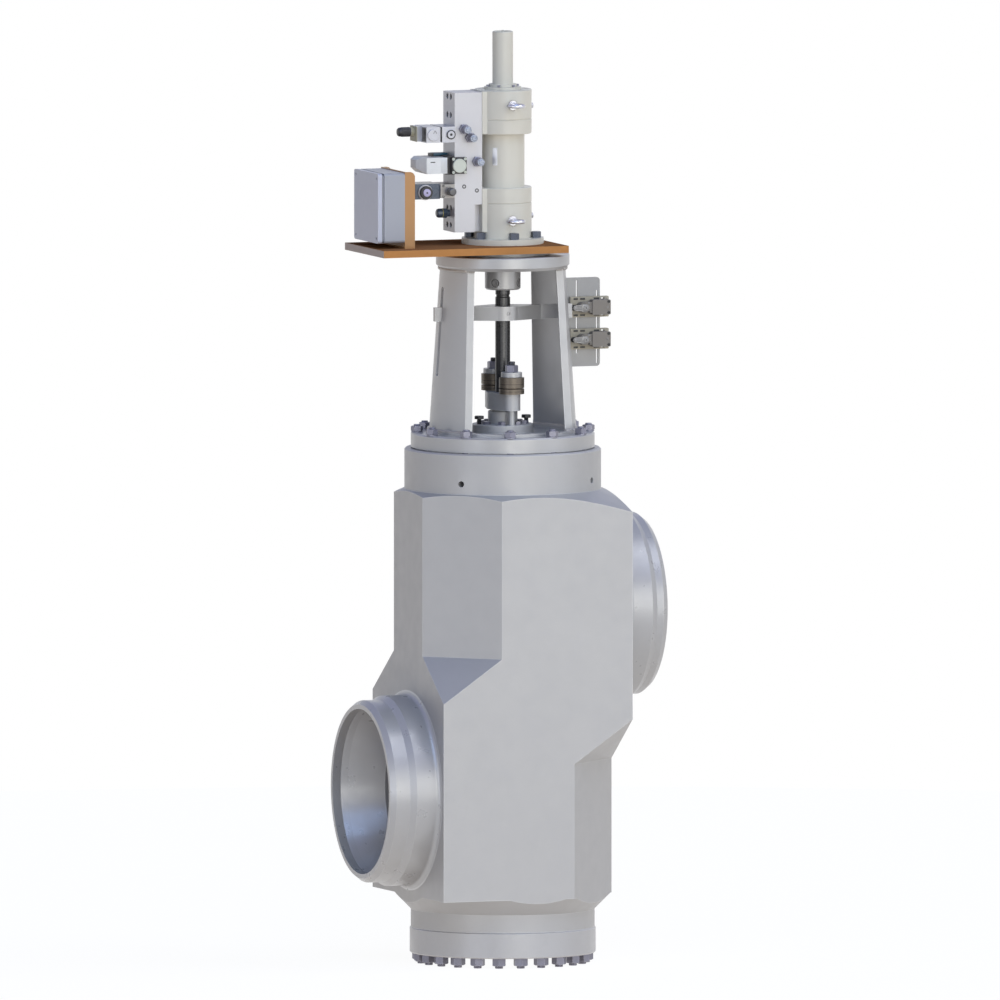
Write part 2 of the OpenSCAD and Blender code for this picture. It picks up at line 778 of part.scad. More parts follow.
// Cage with arched windows that guides the plug and clamps the seat
module cage() {
    r_in = cage_bore_d / 2;
    r_out = r_in + cage_wall;
    arch = window_w / 2;
    color(machined) difference() {
        tube(r_out, r_in, seat_top, bonnet_z);
        on_circle(window_n, 0, 180 / window_n) translate([0, 0, seat_top + cage_foot]) {
            translate([0, -arch, 0]) cube([r_out + 5, window_w, window_h - arch]);
            translate([0, 0, window_h - arch]) rotate([0, 90, 0]) cylinder(r = arch, h = r_out + 5);
        }
    }
}

// Bonnet: plain rim, cone for the pressure seal, hub and long neck
module bonnet() {
    neck_r = bonnet_neck_d / 2;
    color(machined) difference() {
        rotate_extrude() polygon([[stem_d / 2 + hole_gap, bonnet_z], [bonnet_r, bonnet_z],
            [bonnet_r, rim_top], [cone_top_r, cone_top], [bonnet_hub_d / 2, cone_top],
            [bonnet_hub_d / 2, segment_top], [neck_r, segment_top + 30], [neck_r, yoke_top],
            [pack_box_d / 2 + seat_gap, yoke_top], [pack_box_d / 2 + seat_gap, box_floor],
            [stem_d / 2 + hole_gap, box_floor]]);
        on_circle(pack_screw_n, pack_screw_r, 180 / pack_screw_n)
            rod(pack_screw_d / 2 + seat_gap, yoke_top - pack_screw_grip - 2, yoke_top + 1);
    }
}

// Wedge ring that the line pressure squeezes between bonnet and body
module pressure_seal_ring() {
    out_r = bonnet_r + seat_gap / 2;
    lift_off = 2 * seat_gap;
    color(pale) rotate_extrude() polygon([[out_r, rim_top + lift_off], [out_r, seal_top],
        [cone_top_r, seal_top], [cone_top_r, cone_top + lift_off]]);
}

module spacer_ring() {
    color(machined) tube(bonnet_r, bonnet_hub_d / 2 + seat_gap, seal_top, spacer_top);
}

// Four segments in the body's groove, which carry the pressure load
module segment_ring() {
    out_r = bore_d / 2 + segment_bite - seat_gap;
    color(machined) difference() {
        tube(out_r, out_r - segment_w, spacer_top, segment_top - seat_gap);
        for (a = [0, 90]) rotate([0, 0, a])
            translate([-bore_d, -segment_gap / 2, spacer_top - 1])
                cube([2 * bore_d, segment_gap, segment_h + 2]);
    }
}

// Base flange of the yoke, with the ring that the legs are welded to
module yoke_base() {
    r = yoke_base_d / 2;
    bore_r = bonnet_neck_d / 2 + seat_gap;
    shadow = 3;
    ring_in = leg_foot_r - leg_wall - 6;
    ring_out = leg_foot_r + 6;
    color(machined) difference() {
        rotate_extrude() polygon([[bore_r, collar_top], [r - 8, collar_top], [r - 8, collar_top + shadow],
            [r, collar_top + shadow], [r, yoke_top - edge_chamfer], [r - edge_chamfer, yoke_top],
            [ring_out, yoke_top], [ring_out, leg_z], [ring_in, leg_z], [ring_in, yoke_top],
            [bore_r, yoke_top]]);
        on_circle(yoke_bolt_n, yoke_pcd / 2, 180 / yoke_bolt_n)
            rod(yoke_bolt_d / 2 + hole_gap, collar_top - 1, yoke_top + 1);
        rod(bonnet_hub_d / 2 + 1, collar_top - 1, collar_top + 2);
    }
}

module yoke_bolts() {
    color(bluish) on_circle(yoke_bolt_n, yoke_pcd / 2, 180 / yoke_bolt_n)
        hex_screw(yoke_bolt_d, yoke_bolt_d * 1.5, yoke_head_h, collar_top - yoke_thread, yoke_top);
}

// One leg: a part of a conical tube, cut to a trapezoid, with the slot for the travel bar
module yoke_leg() {
    slot_r = slot_w / 2;
    difference() {
        intersection() {
            rotate_extrude() polygon([[leg_foot_r - leg_wall, leg_z], [leg_foot_r, leg_z],
                [leg_top_r, leg_top], [leg_top_r - leg_wall, leg_top]]);
            rotate([90, 0, 90]) linear_extrude(height = leg_foot_r + 10)
                polygon([[-leg_foot_half, leg_z - 1], [leg_foot_half, leg_z - 1],
                    [leg_top_half, leg_top + 1], [-leg_top_half, leg_top + 1]]);
        }
        translate([0, -slot_r, slot_z + slot_r]) cube([leg_foot_r + 10, slot_w, slot_l - slot_w]);
        for (z = [slot_z + slot_r, slot_top - slot_r]) translate([0, 0, z])
            rotate([0, 90, 0]) cylinder(r = slot_r, h = leg_foot_r + 10);
    }
}

module yoke_leg_left() {
    color(forged) rotate([0, 0, 180]) yoke_leg();
}

module yoke_leg_right() {
    color(forged) yoke_leg();
}

// Head flange of the yoke, with the raised seat for the actuator plate
module yoke_head() {
    r = yoke_head_d / 2;
    bore_r = coupling_d / 2 + 4;
    color(machined) difference() {
        rotate_extrude() polygon([[bore_r, leg_top], [r - yoke_head_chamfer, leg_top],
            [r, leg_top + yoke_head_chamfer], [r, head_top - 2], [r - 2, head_top],
            [raised_d / 2, head_top], [raised_d / 2, seat_plane], [bore_r, seat_plane]]);
        on_circle(cyl_bolt_n, cyl_pcd / 2, -90) rod(cyl_bolt_d / 2 + seat_gap, leg_top - 1, seat_plane + 1);
    }
}

// Packing box: flange on the bonnet's neck, with the box above and below it
module packing_box() {
    ring_r = pack_ring_d / 2 + seat_gap;
    box_r = pack_box_d / 2;
    flange_r = pack_flange_d / 2;
    color(forged) difference() {
        rotate_extrude() polygon([[stem_d / 2 + hole_gap, box_floor], [box_r, box_floor],
            [box_r, yoke_top], [flange_r, yoke_top], [flange_r, pack_top - 2], [flange_r - 2, pack_top],
            [box_r, pack_top], [box_r, box_top - 2], [box_r - 2, box_top], [ring_r, box_top],
            [ring_r, rings_z], [stem_d / 2 + hole_gap, rings_z]]);
        on_circle(2, gland_stud_r, 90) rod(gland_stud_d / 2 + seat_gap, yoke_top + 2, pack_top + 1);
        on_circle(pack_screw_n, pack_screw_r, 180 / pack_screw_n)
            rod(pack_screw_d / 2 + hole_gap, yoke_top - 1, pack_top + 1);
        on_circle(2, jack_r) rod(jack_d / 2 + seat_gap, yoke_top - 1, pack_top + 1);
    }
}

// Screws that hold the packing box, and two jack screws that lift it off
module packing_box_screws() {
    color(bluish) on_circle(pack_screw_n, pack_screw_r, 180 / pack_screw_n)
        hex_screw(pack_screw_d, pack_screw_d * 2, pack_screw_head, yoke_top - pack_screw_grip, pack_top);
    color(black) on_circle(2, jack_r)
        hex_screw(jack_d, jack_d + 11, pack_screw_head, yoke_top, pack_top + jack_rise);
}

module packing_rings() {
    color(graphite) for (i = [0 : pack_ring_n - 1]) tube(pack_ring_d / 2, stem_d / 2 + run_gap,
        rings_z + i * pack_ring_h, rings_z + (i + 1) * pack_ring_h - run_gap);
}

// Sleeve that presses on the packing
module gland_follower() {
    color(machined) tube(pack_ring_d / 2 - seat_gap, stem_d / 2 + hole_gap / 2, rings_top, gland_z);
}

// Two-stud gland flange: a round middle with straight flanks to two round ends
module gland_flange() {
    mid_r = gland_mid_d / 2;
    end_r = gland_end_d / 2;
    lean = asin((mid_r - end_r) / gland_stud_r);
    flank_x = mid_r * cos(lean);
    flank_y = mid_r * sin(lean);
    tip_x = end_r * cos(lean);
    tip_y = gland_stud_r + end_r * sin(lean);
    color(forged) difference() {
        translate([0, 0, gland_z]) linear_extrude(height = gland_t) {
            circle(r = mid_r);
            for (s = [-1, 1]) translate([0, s * gland_stud_r]) circle(r = end_r);
            polygon([[flank_x, flank_y], [tip_x, tip_y], [-tip_x, tip_y], [-flank_x, flank_y],
                [-flank_x, -flank_y], [-tip_x, -tip_y], [tip_x, -tip_y], [flank_x, -flank_y]]);
        }
        rod(stem_d / 2 + hole_gap, gland_z - 1, gland_top + 1);
        on_circle(2, gland_stud_r, 90) rod(gland_stud_d / 2 + hole_gap, gland_z - 1, gland_top + 1);
    }
}

module gland_studs() {
    color(dark_steel) on_circle(2, gland_stud_r, 90)
        tipped_rod(gland_stud_d / 2, yoke_top + 3, gland_stud_top, 2);
}

// Nested disc springs in groups that face each other
module disc_springs() {
    r_in = gland_stud_d / 2 + hole_gap;
    color(bronze) on_circle(2, gland_stud_r, 90)
        for (g = [0 : disc_groups - 1], i = [0 : disc_nest - 1]) {
            z = gland_top + g * group_h + i * disc_pitch + 0.1;
            inner = (g % 2 == 0) ? disc_rise : 0;
            outer = disc_rise - inner;
            rotate_extrude() polygon([[r_in, z + inner], [disc_d / 2, z + outer],
                [disc_d / 2, z + outer + disc_t], [r_in, z + inner + disc_t]]);
        }
}

module spring_washers() {
    color(machined) on_circle(2, gland_stud_r, 90)
        tube(washer_d / 2, gland_stud_d / 2 + hole_gap, discs_top, washers_top);
}

module gland_nuts() {
    color(bluish) on_circle(2, gland_stud_r, 90)
        hex_nut(gland_nut_af, gland_stud_d / 2 + seat_gap, washers_top, gland_nut_top);
}

// Plate on the right leg that carries the limit switches
module switch_plate() {
    z0 = plate_mid - plate_h / 2;
    z1 = plate_mid + plate_h / 2;
    slot_half = plate_slot_w / 2;
    color(machined) difference() {
        rounded_plate_xz(leg_top_r - leg_wall, plate_reach, z0, z1, plate_back, switch_plate_t, plate_corner);
        translate([0, 0, leg_z]) rotate_extrude() polygon([[0, 0], [leg_foot_r + seat_gap, 0],
            [leg_top_r + seat_gap, leg_h], [0, leg_h]]);
        block([inner_slot_x - slot_half, plate_back - 1, z1 - 8 - plate_slot_l],
            [inner_slot_x + slot_half, plate_back + switch_plate_t + 1, z1 - 8]);
        block([outer_slot_x - slot_half, plate_back - 1, z0 + 8],
            [outer_slot_x + slot_half, plate_back + switch_plate_t + 1, z0 + 8 + plate_slot_l]);
    }
}

// One limit switch: slotted base, housing and lever boss, its pivot at the given height
module limit_switch(z) {
    x0 = plate_reach + 22 - switch_l;
    x1 = x0 + switch_l;
    base_t = 12;
    front = -6;
    base_y = plate_back - base_t;
    row = switch_h / 2 - 6;
    difference() {
        union() {
            rounded_plate_xz(x0, x1, z - switch_h / 2, z + switch_h / 2, base_y, base_t, 3);
            rounded_plate_xz(x1 - 58, x1 - 4, z - housing_h / 2, z + housing_h / 2, front, base_y - front, 4);
            translate([pivot_x, base_y + 1, z]) rotate([90, 0, 0]) cylinder(r = 15, h = base_y + 1 - front);
            block([pivot_x, front + 4, z - 15], [x1 - 50, base_y, z + 15]);
        }
        translate([pivot_x, base_y, z]) rotate([90, 0, 0]) cylinder(r = 4 + run_gap, h = 40);
        for (side = [-1, 1], slot = [[9, 22], [29, 43], [69, 86], [91, 101]])
            block([x0 + slot[0], base_y - 1, z + side * row - 2],
                [x0 + slot[1], plate_back + 1, z + side * row + 2]);
    }
}

module limit_switches() {
    color(switch_brown) for (z = [switch_top_z, switch_low_z]) limit_switch(z);
}

// Roller lever of a limit switch: shaft, hub, arm and roller
module roller_lever(z) {
    arm_t = 6;
    arm_y = -14;
    color(machined) translate([pivot_x, 0, z]) {
        translate([0, plate_back - 13, 0]) rotate([90, 0, 0]) cylinder(r = 4, h = plate_back - 13 - arm_y);
        translate([0, arm_y + arm_t, 0]) rotate([90, 0, 0]) cylinder(r = 11, h = arm_t);
        translate([0, arm_y + arm_t, 0]) rotate([90, 0, 0]) linear_extrude(height = arm_t)
            polygon([[0, 11], [-lever_arm, 7], [-lever_arm, -7], [0, -11]]);
        translate([-lever_arm, arm_y + arm_t, 0]) rotate([90, 0, 0]) cylinder(r = 7, h = arm_t);
        translate([-lever_arm, 7, 0]) rotate([90, 0, 0]) cylinder(r = roller_r, h = 15);
    }
}

module lever_upper() {
    roller_lever(switch_top_z);
}

module lever_lower() {
    roller_lever(switch_low_z);
}

// Plate that carries the cylinder, the manifold and the junction box
module actuator_plate() {
    color(copper) difference() {
        block([-plate_left, -plate_half, seat_plane], [plate_right, plate_half, plate_top]);
        rod(coupling_d / 2 + 4, seat_plane - 1, plate_top + 1);
        on_circle(cyl_bolt_n, cyl_pcd / 2, -90) rod(cyl_bolt_d / 2 + hole_gap, seat_plane - 1, plate_top + 1);
    }
}

// Folded bracket behind the junction box: a web with two flanges and a foot
module box_bracket() {
    half = box_w / 2;
    top = box_z + box_w + 3;
    corner = bracket_flange / 2;
    color(copper) {
        block([-bracket_x, -half, plate_top], [-bracket_x + bracket_t, half, top]);
        for (y = [-half, half - bracket_t]) translate([0, y + bracket_t, 0]) rotate([90, 0, 0])
            linear_extrude(height = bracket_t) {
                translate([-bracket_x, plate_top]) square([bracket_flange, top - corner - plate_top]);
                translate([-bracket_x, plate_top]) square([bracket_flange - corner, top - plate_top]);
                translate([-bracket_x + bracket_flange - corner, top - corner]) circle(r = corner);
            }
        block([-bracket_x, -half, plate_top], [-bracket_x + bracket_flange, half, plate_top + bracket_t]);
    }
}

// Box outline in Y and Z, extruded along X from x0 to x1
module box_slab(x0, x1, inset, r) {
    half = box_w / 2 - inset;
    mid = box_z + box_w / 2;
    translate([x0, 0, mid]) rotate([90, 0, 90]) linear_extrude(height = x1 - x0)
        rounded_outline(-half, half, -half, half, r);
}

// Hollow box body with a sunk rim for the lid
module junction_box() {
    wall = 4;
    color(box_grey) difference() {
        union() {
            box_slab(-box_x, -bracket_x, 0, box_corner);
            box_slab(-box_x - box_seam, -box_x, 4, box_corner - 3);
        }
        box_slab(-box_x - box_seam - 1, -bracket_x - wall, 4 + wall, 2);
        translate([-(box_x + bracket_x) / 2, box_w / 2 + 1, box_z + 45]) rotate([90, 0, 0])
            cylinder(d = cable_entry_d, h = wall + 6);
    }
}

module box_lid() {
    color(box_grey) difference() {
        box_slab(-lid_x, -lid_x + lid_t, 0, box_corner);
        box_slab(-lid_x + 5, -lid_x + lid_t + 1, 8, 2);
        lid_corners() rod(4, -1, 5);
        lid_corners() rod(2.5, -1, lid_t + 1);
    }
}

// The four screw places of the lid, with Z pointing into the lid
module lid_corners() {
    reach = box_w / 2 - 14;
    for (y = [-1, 1], z = [-1, 1]) translate([-lid_x, y * reach, box_z + box_w / 2 + z * reach])
        rotate([0, 90, 0]) children();
}

module lid_screws() {
    color(bluish) lid_corners() {
        rod(3.6, 1.5, 4.9);
        rod(2.3, 4.9, lid_t - 1);
    }
}

module cylinder_bolts() {
    color(bluish) on_circle(cyl_bolt_n, cyl_pcd / 2, -90)
        hex_screw(cyl_bolt_d, cyl_bolt_d * 1.5, 18, leg_top + 5, flange_top);
}

// Turned cylinder head between two heights, with a groove and the manifold's pad
module head_blank(z0, z1, groove_z, pad_z) {
    r = head_d / 2;
    groove = 2;
    difference() {
        union() {
            rotate_extrude() polygon([[0, z0], [r - 2, z0], [r, z0 + 2], [r, groove_z - groove],
                [r - groove, groove_z], [r, groove_z + groove], [r, z1 - 2], [r - 2, z1], [0, z1]]);
            block([-head_d / 2, -pad_half, pad_z], [-head_d / 4, pad_half, z1 - 2]);
        }
        block([-head_d, -head_d, z0 - 1], [-head_flat, head_d, z1 + 1]);
    }
}

// Lower head with its base flange, the rod bush and the barrel's seat
module lower_head() {
    barrel_z = lower_head_top - barrel_seat;
    color(cream) difference() {
        union() {
            rod(cyl_flange_d / 2, plate_top, flange_top);
            head_blank(flange_top - 2, lower_head_top, lower_head_top - 44, flange_top + 20);
        }
        tube(barrel_d / 2 + seat_gap, boss_d / 2, barrel_z, lower_head_top + 1);
        rod(rod_d / 2 + run_gap, plate_top - 1, lower_head_top + 1);
        on_circle(cyl_bolt_n, cyl_pcd / 2, -90) rod(cyl_bolt_d / 2 + hole_gap, plate_top - 1, flange_top + 1);
        manifold_screw_holes(flange_top, lower_head_top);
        eye_spot(low_eye_z);
    }
}

// Flat spot on a cylinder head, with the hole for an eye bolt
module eye_spot(z) {
    translate([0, -spot_y, z]) rotate([90, 0, 0]) cylinder(r = 16, h = 10);
    translate([0, -spot_y + 14, z]) rotate([90, 0, 0]) cylinder(r = 6 + seat_gap, h = 20);
}

module barrel() {
    color(cream) tube(barrel_d / 2, barrel_bore / 2,
        lower_head_top - barrel_seat, upper_head_z + barrel_seat);
}

// Upper head with the barrel's seat and the hole for the sensor rod
module upper_head() {
    color(cream) difference() {
        head_blank(upper_head_z, upper_head_top, upper_head_z + 41, upper_head_z + 2);
        tube(barrel_d / 2 + seat_gap, boss_d / 2, upper_head_z - 1, upper_head_z + barrel_seat);
        rod(boss_d / 2 + 1, upper_head_z - 1, piston_top + 2);
        rod(sensor_rod_d / 2 + seat_gap, upper_head_z - 1, upper_head_top + 1);
        on_circle(head_screw_n, head_screw_r) {
            rod(5 + seat_gap, upper_head_top - 40, upper_head_top + 1);
            rod(8.5, upper_head_top - screw_sink, upper_head_top + 1);
        }
        eye_spot(high_eye_z);
        manifold_screw_holes(upper_head_z, upper_head_top);
    }
}

module head_screws() {
    color(bluish) on_circle(head_screw_n, head_screw_r)
        socket_screw(10, upper_head_top - 38, upper_head_top - screw_sink);
}

// Flange of the position sensor
module sensor_flange() {
    color(cream) difference() {
        union() {
            rod(52, upper_head_top, upper_head_top + sensor_flange_t);
            rod(sensor_d / 2 + 10, upper_head_top, sensor_top);
        }
        rod(sensor_rod_d / 2 + seat_gap, upper_head_top - 1, sensor_top + 1);
    }
}

// Tall housing of the position sensor, with a sunk top
module sensor_housing() {
    r = sensor_d / 2;
    top = sensor_top + sensor_h;
    color(cream) rotate_extrude() polygon([[0, sensor_top], [r, sensor_top], [r, top - 2],
        [r - 2, top], [r - 6, top], [r - 6, top - 8], [3, top - 8], [3, top + 3], [0, top + 3]]);
}

// Sensor rod that reaches down into the hollow piston rod
module sensor_rod() {
    color(machined) rod(sensor_rod_d / 2, piston_z - travel_h - 20, sensor_top);
}

// Places of the manifold screws, with Z pointing toward the cylinder
module manifold_screw_places() {
    for (drop = screw_rise, y = [-screw_column, screw_column])
        translate([-manifold_left, y, manifold_top - drop]) rotate([0, 90, 0]) children();
}

module manifold_screw_holes(z0, z1) {
    intersection() {
        manifold_screw_places() rod(manifold_screw_d / 2 + seat_gap, 0, manifold_x + 16);
        block([-head_d, -head_d, z0], [0, head_d, z1]);
    }
}

// Manifold block, relieved at its foot, with sunk screws and two ports at the back
module manifold_block() {
    relief = 22;
    color(pale) difference() {
        block([-manifold_left, -manifold_front, manifold_z], [-head_flat, manifold_front, manifold_top]);
        for (s = [-1, 1]) translate([-head_flat - relief, s > 0 ? 25 : -manifold_front - 1, manifold_z - 1])
            cube([relief + 1, manifold_front - 24, relief_h + 1]);
        manifold_screw_places() {
            rod(manifold_screw_d / 2 + hole_gap, -1, manifold_x + 1);
            rod(manifold_screw_d * 0.85, -1, manifold_screw_d + 2);
        }
        for (drop = port_drops) translate([-port_x, manifold_front + 1, manifold_top - drop])
            rotate([90, 0, 0]) cylinder(d = port_d, h = port_depth + 1);
    }
}

module manifold_screws() {
    color(dark_steel) manifold_screw_places() {
        rod(manifold_screw_d / 2, manifold_screw_d + 2, manifold_x + 14);
        difference() {
            rod(manifold_screw_d * 0.75, 2, manifold_screw_d + 2);
            translate([0, 0, 1]) cylinder(r = manifold_screw_d * 0.46, h = manifold_screw_d * 0.6, $fn = 6);
        }
    }
}

// Test coupling with its base on the plane y = 0, pointing along -Y
module test_coupling() {
    rotate([90, 0, 0]) {
        hex_block(26, 0, 12);
        rod(9, 12, 18);
        tipped_rod(11, 18, 38, 3);
    }
}

// Three couplings on the front of the manifold
module test_couplings() {
    color(bluish) for (p = coupling_places)
        translate([p[0], -manifold_front, manifold_top - p[1]]) test_coupling();
}

// Two eye bolts in the front of the cylinder heads, their rings level
module lifting_eyes() {
    eye_r = 21;
    wire_r = 5.5;
    color(pale) for (z = [high_eye_z, low_eye_z]) translate([0, -spot_y, z]) {
        rotate([90, 0, 0]) rod(6, -12, 0);
        rotate([90, 0, 0]) rod(13, 0, 6);
        rotate([90, 0, 0]) rod(7.5, 6, 12);
        translate([0, -10 - eye_r, 0]) rotate_extrude() translate([eye_r, 0]) circle(r = wire_r);
    }
}

// Plug in the foot of the manifold, on its inlet side
module bleed_plug() {
    color(bluish) translate([-manifold_left, 0, manifold_foot_z]) rotate([0, -90, 0]) {
        rod(10, 0, 8);
        hex_block(26, 8, 20);
        tipped_rod(13, 20, 38, 3);
    }
}

// Solenoid valve: subplate, coil and connector on the manifold's inlet side
module solenoid_valve() {
    half_h = 22;
    front = -manifold_front - 3;
    left = manifold_left;
    color(machined) {
        block([-left - 39, front, solenoid_z - half_h], [-left, 46, solenoid_z + half_h]);
        block([-left - 45, front + 5, solenoid_z - half_h + 2], [-left - 39, 42, solenoid_z + half_h - 2]);
        difference() {
            block([-left - 85, front, solenoid_z - half_h], [-left - 45, 46, solenoid_z + half_h]);
            for (y = [-18, 24], side = [-1, 1]) block([-left - 86, y - 3, solenoid_z + side * 17 - 3],
                [-left - 80, y + 3, solenoid_z + side * 17 + 3]);
        }
        block([-left - 99, -6, solenoid_z - half_h + 1], [-left - 85, 46, solenoid_z + half_h - 1]);
        for (p = [[13, 13.5], [65, 17]]) translate([-left - p[0], front, solenoid_z])
            rotate([90, 0, 0]) cylinder(r = p[1], h = 3);
        translate([-left - 99, cap_y, cap_level]) rotate([0, -90, 0]) rod(11, 0, 11);
    }
}

// Round cap over the solenoid valve's connector
module solenoid_cap() {
    color(black) translate([-manifold_left - 110, cap_y, cap_level]) rotate([0, -90, 0])
        tipped_rod(13.7, 0, 37, 5);
}

// White housing of the servo valve, its end drawn in to a nose
module servo_valve() {
    half_h = 22.3;
    left = manifold_left;
    top = servo_z + half_h;
    low = servo_z - half_h;
    color(pale) intersection() {
        translate([0, 0, low]) linear_extrude(height = 2 * half_h)
            polygon([[-left - 22, -47], [-left - 83.5, -47], [-left - 103, -10], [-left - 103, 32],
                [-left - 83.5, 46], [-left - 22, 46]]);
        translate([0, 50, 0]) rotate([90, 0, 0]) linear_extrude(height = 100)
            polygon([[-left - 22, low], [-left - 83.5, low], [-left - 103, top - 30], [-left - 103, top - 7],
                [-left - 90, top], [-left - 22, top]]);
    }
}

// Black parts of the servo valve: its base, the front flange and the plug on top
module servo_base() {
    half_h = 25.8;
    flange_half = 22;
    left = manifold_left;
    color(black) {
        block([-left - 22, -manifold_front, servo_z - half_h], [-left, 46, servo_z + half_h]);
        block([-left - 13, -manifold_front - 13, servo_z - flange_half - 1],
            [-left + 31, -manifold_front, servo_z + flange_half + 1]);
        block([-left - 50, 6, servo_z + 22.3], [-left - 22, 36, servo_z + 31]);
    }
}

// Round cover in the front flange of the servo valve
module servo_cover() {
    color(pale) translate([-manifold_left + 9, -manifold_front - 13, servo_z]) rotate([90, 0, 0])
        tipped_rod(19.7, 0, 5, 1);
}

// Dark body of the flow valve, with the seat for its knob
module flow_valve() {
    half_h = 21.5;
    color(box_grey) difference() {
        block([-manifold_left - flow_l, -manifold_front + flow_back, flow_z - half_h],
            [-manifold_left - flow_plate_t, 40, flow_z + half_h]);
        translate([-manifold_left - flow_knob_x, -manifold_front + flow_back + 18, flow_z - 2])
            rotate([90, 0, 0]) cylinder(r = knob_stem_r + run_gap, h = 40);
    }
}

// Pale block between flow valve and manifold, with the seat for the relief knob
module flow_subplate() {
    half_h = 19;
    color(machined) difference() {
        block([-manifold_left - flow_plate_t, -manifold_front, flow_z - half_h],
            [-manifold_left, 44, flow_z + half_h]);
        translate([-manifold_left - relief_knob_x, -manifold_front + 20, flow_z]) rotate([90, 0, 0])
            cylinder(r = knob_stem_r + run_gap, h = 40);
    }
}

// Ringed knob that sets the flow
module flow_knob() {
    place = [-manifold_left - flow_knob_x, -manifold_front + flow_back, flow_z - 2];
    color(dark_steel) translate(place) rotate([90, 0, 0]) {
        rod(knob_stem_r, -17, 1);
        tipped_rod(21.5, 0.5, 5, 1);
        tipped_rod(18.4, 5, 15, 2);
        tipped_rod(11, 15, 19, 1);
    }
}

// Long knob that sets the relief pressure
module relief_knob() {
    place = [-manifold_left - relief_knob_x, -manifold_front, flow_z];
    color(dark_steel) translate(place) rotate([90, 0, 0]) {
        rod(knob_stem_r, -19, 3);
        hex_block(20, 0.5, 8);
        tipped_rod(12, 8, 34, 3);
    }
}

// Piston with its seal groove
module piston() {
    r = barrel_bore / 2 - run_gap;
    groove_z = piston_z + piston_h / 2 - seal_h / 2;
    color(machined) difference() {
        rod(r, piston_z, piston_top);
        tube(r + 1, r - 5, groove_z, groove_z + seal_h);
        rod(rod_d / 2 - 5 + seat_gap, piston_z - 1, piston_top + 1);
    }
}

// Hollow piston rod, its spigot through the piston
module piston_rod() {
    sensor_bore = sensor_rod_d / 2 + 1.5;
    color(machined) difference() {
        union() {
            rod(rod_d / 2, rod_end_z + seat_gap, piston_z);
            rod(rod_d / 2 - 5, piston_z, piston_top);
        }
        rod(sensor_bore, piston_z - travel_h - 30, piston_top + 1);
    }
}

// Coupling that joins the stem to the piston rod
module rod_coupling() {
    r = coupling_d / 2;
    color(machined) difference() {
        rotate_extrude() polygon([[0, coupling_z], [r - 4, coupling_z], [r, coupling_z + 4],
            [r, coupling_top - 2], [r - 2, coupling_top], [0, coupling_top]]);
        rod(stem_d / 2 + seat_gap, coupling_z - 1, rod_end_z);
        rod(rod_d / 2 + seat_gap, rod_end_z - 1, coupling_top + 1);
        coupling_screw_places() {
            rod(coupling_spot_r, -1, 10);
            rod(6 + seat_gap, 0, r);
        }
    }
}

// Four radial screw places of the coupling, with Z pointing inward
module coupling_screw_places() {
    for (a = [45 : 90 : 315]) rotate([0, 0, a]) translate([coupling_d / 2, 0, coupling_z + coupling_screw_up])
        rotate([0, -90, 0]) children();
}

module coupling_screws() {
    color(dark_steel) coupling_screw_places() difference() {
        union() {
            rod(coupling_spot_r - 2.7, 1, 9.9);
            rod(6, 9.9, coupling_d / 2 - stem_d / 2 - seat_gap);
        }
        cylinder(r = 5.8, h = 6, $fn = 6);
    }
}

// Stem from the plug up into the coupling, with an undercut below the coupling
module stem() {
    r = stem_d / 2;
    color(dark_steel) rotate_extrude() polygon([[0, stem_z], [r, stem_z], [r, coupling_z - 23],
        [r - 2.5, coupling_z - 20], [r - 2.5, coupling_z - 16], [r - 0.5, coupling_z - 14],
        [r - 0.5, rod_end_z - 2], [r - 2.5, rod_end_z], [0, rod_end_z]]);
}

// Balanced plug with a seating edge, a nose and balance holes
module plug() {
    r = plug_d / 2;
    nose_r = seat_bore_d / 2 - hole_gap;
    groove_z = plug_top - 25;
    color(machined) difference() {
        rotate_extrude() polygon([[0, plug_z - nose_h], [nose_r - 3, plug_z - nose_h],
            [nose_r, plug_z - nose_h + 3], [nose_r, plug_z], [r, plug_z], [r, plug_top - 3],
            [r - 3, plug_top], [0, plug_top]]);
        tube(r + 1, r - 6, groove_z, groove_z + seal_h);
        rod(stem_d / 2 + seat_gap, stem_z, plug_top + 1);
        on_circle(4, 62, 45) rod(balance_hole_d / 2, plug_z - nose_h - 1, plug_top + 1);
    }
}

// Sliding seal rings of the plug and the piston
module seal_rings() {
    plug_groove = plug_top - 25;
    piston_groove = piston_z + piston_h / 2 - seal_h / 2;
    color(graphite) {
        tube(plug_d / 2, plug_d / 2 - 5.8, plug_groove + 0.1, plug_groove + seal_h - 0.1);
        tube(barrel_bore / 2 - run_gap, barrel_bore / 2 - 4.8,
            piston_groove + 0.1, piston_groove + seal_h - 0.1);
    }
}

// Bar clamped on the stem: it runs in the slots of both legs and trips the switches
module travel_bar() {
    hub_r = bar_hub_d / 2;
    top = bar_z + bar_h;
    flank_r = hub_r - 1;
    wide = acos((flank_r - bar_t / 2) / bar_flank_x);
    touch_x = flank_r * cos(wide);
    touch_y = flank_r * sin(wide);
    half_t = bar_t / 2;
    root_t = half_t - 1;
    color(machined) difference() {
        union() {
            block([-bar_reach, -half_t, bar_z], [bar_reach, half_t, top]);
            rod(hub_r, bar_z, top);
            translate([0, 0, bar_z]) linear_extrude(height = bar_h)
                polygon([[-bar_flank_x, -root_t], [-touch_x, -touch_y], [touch_x, -touch_y],
                    [bar_flank_x, -root_t], [bar_flank_x, root_t], [touch_x, touch_y],
                    [-touch_x, touch_y], [-bar_flank_x, root_t]]);
        }
        rod(stem_d / 2 + seat_gap, bar_z - 1, top + 1);
        translate([0, 0, bar_mid]) rotate([90, 0, 0]) cylinder(r = 7, h = hub_r + 1);
    }
}

// Flat gaskets of cover and seat ring, and the rings of the packing
module gaskets_and_packing() {
    gaskets();
    packing_rings();
}

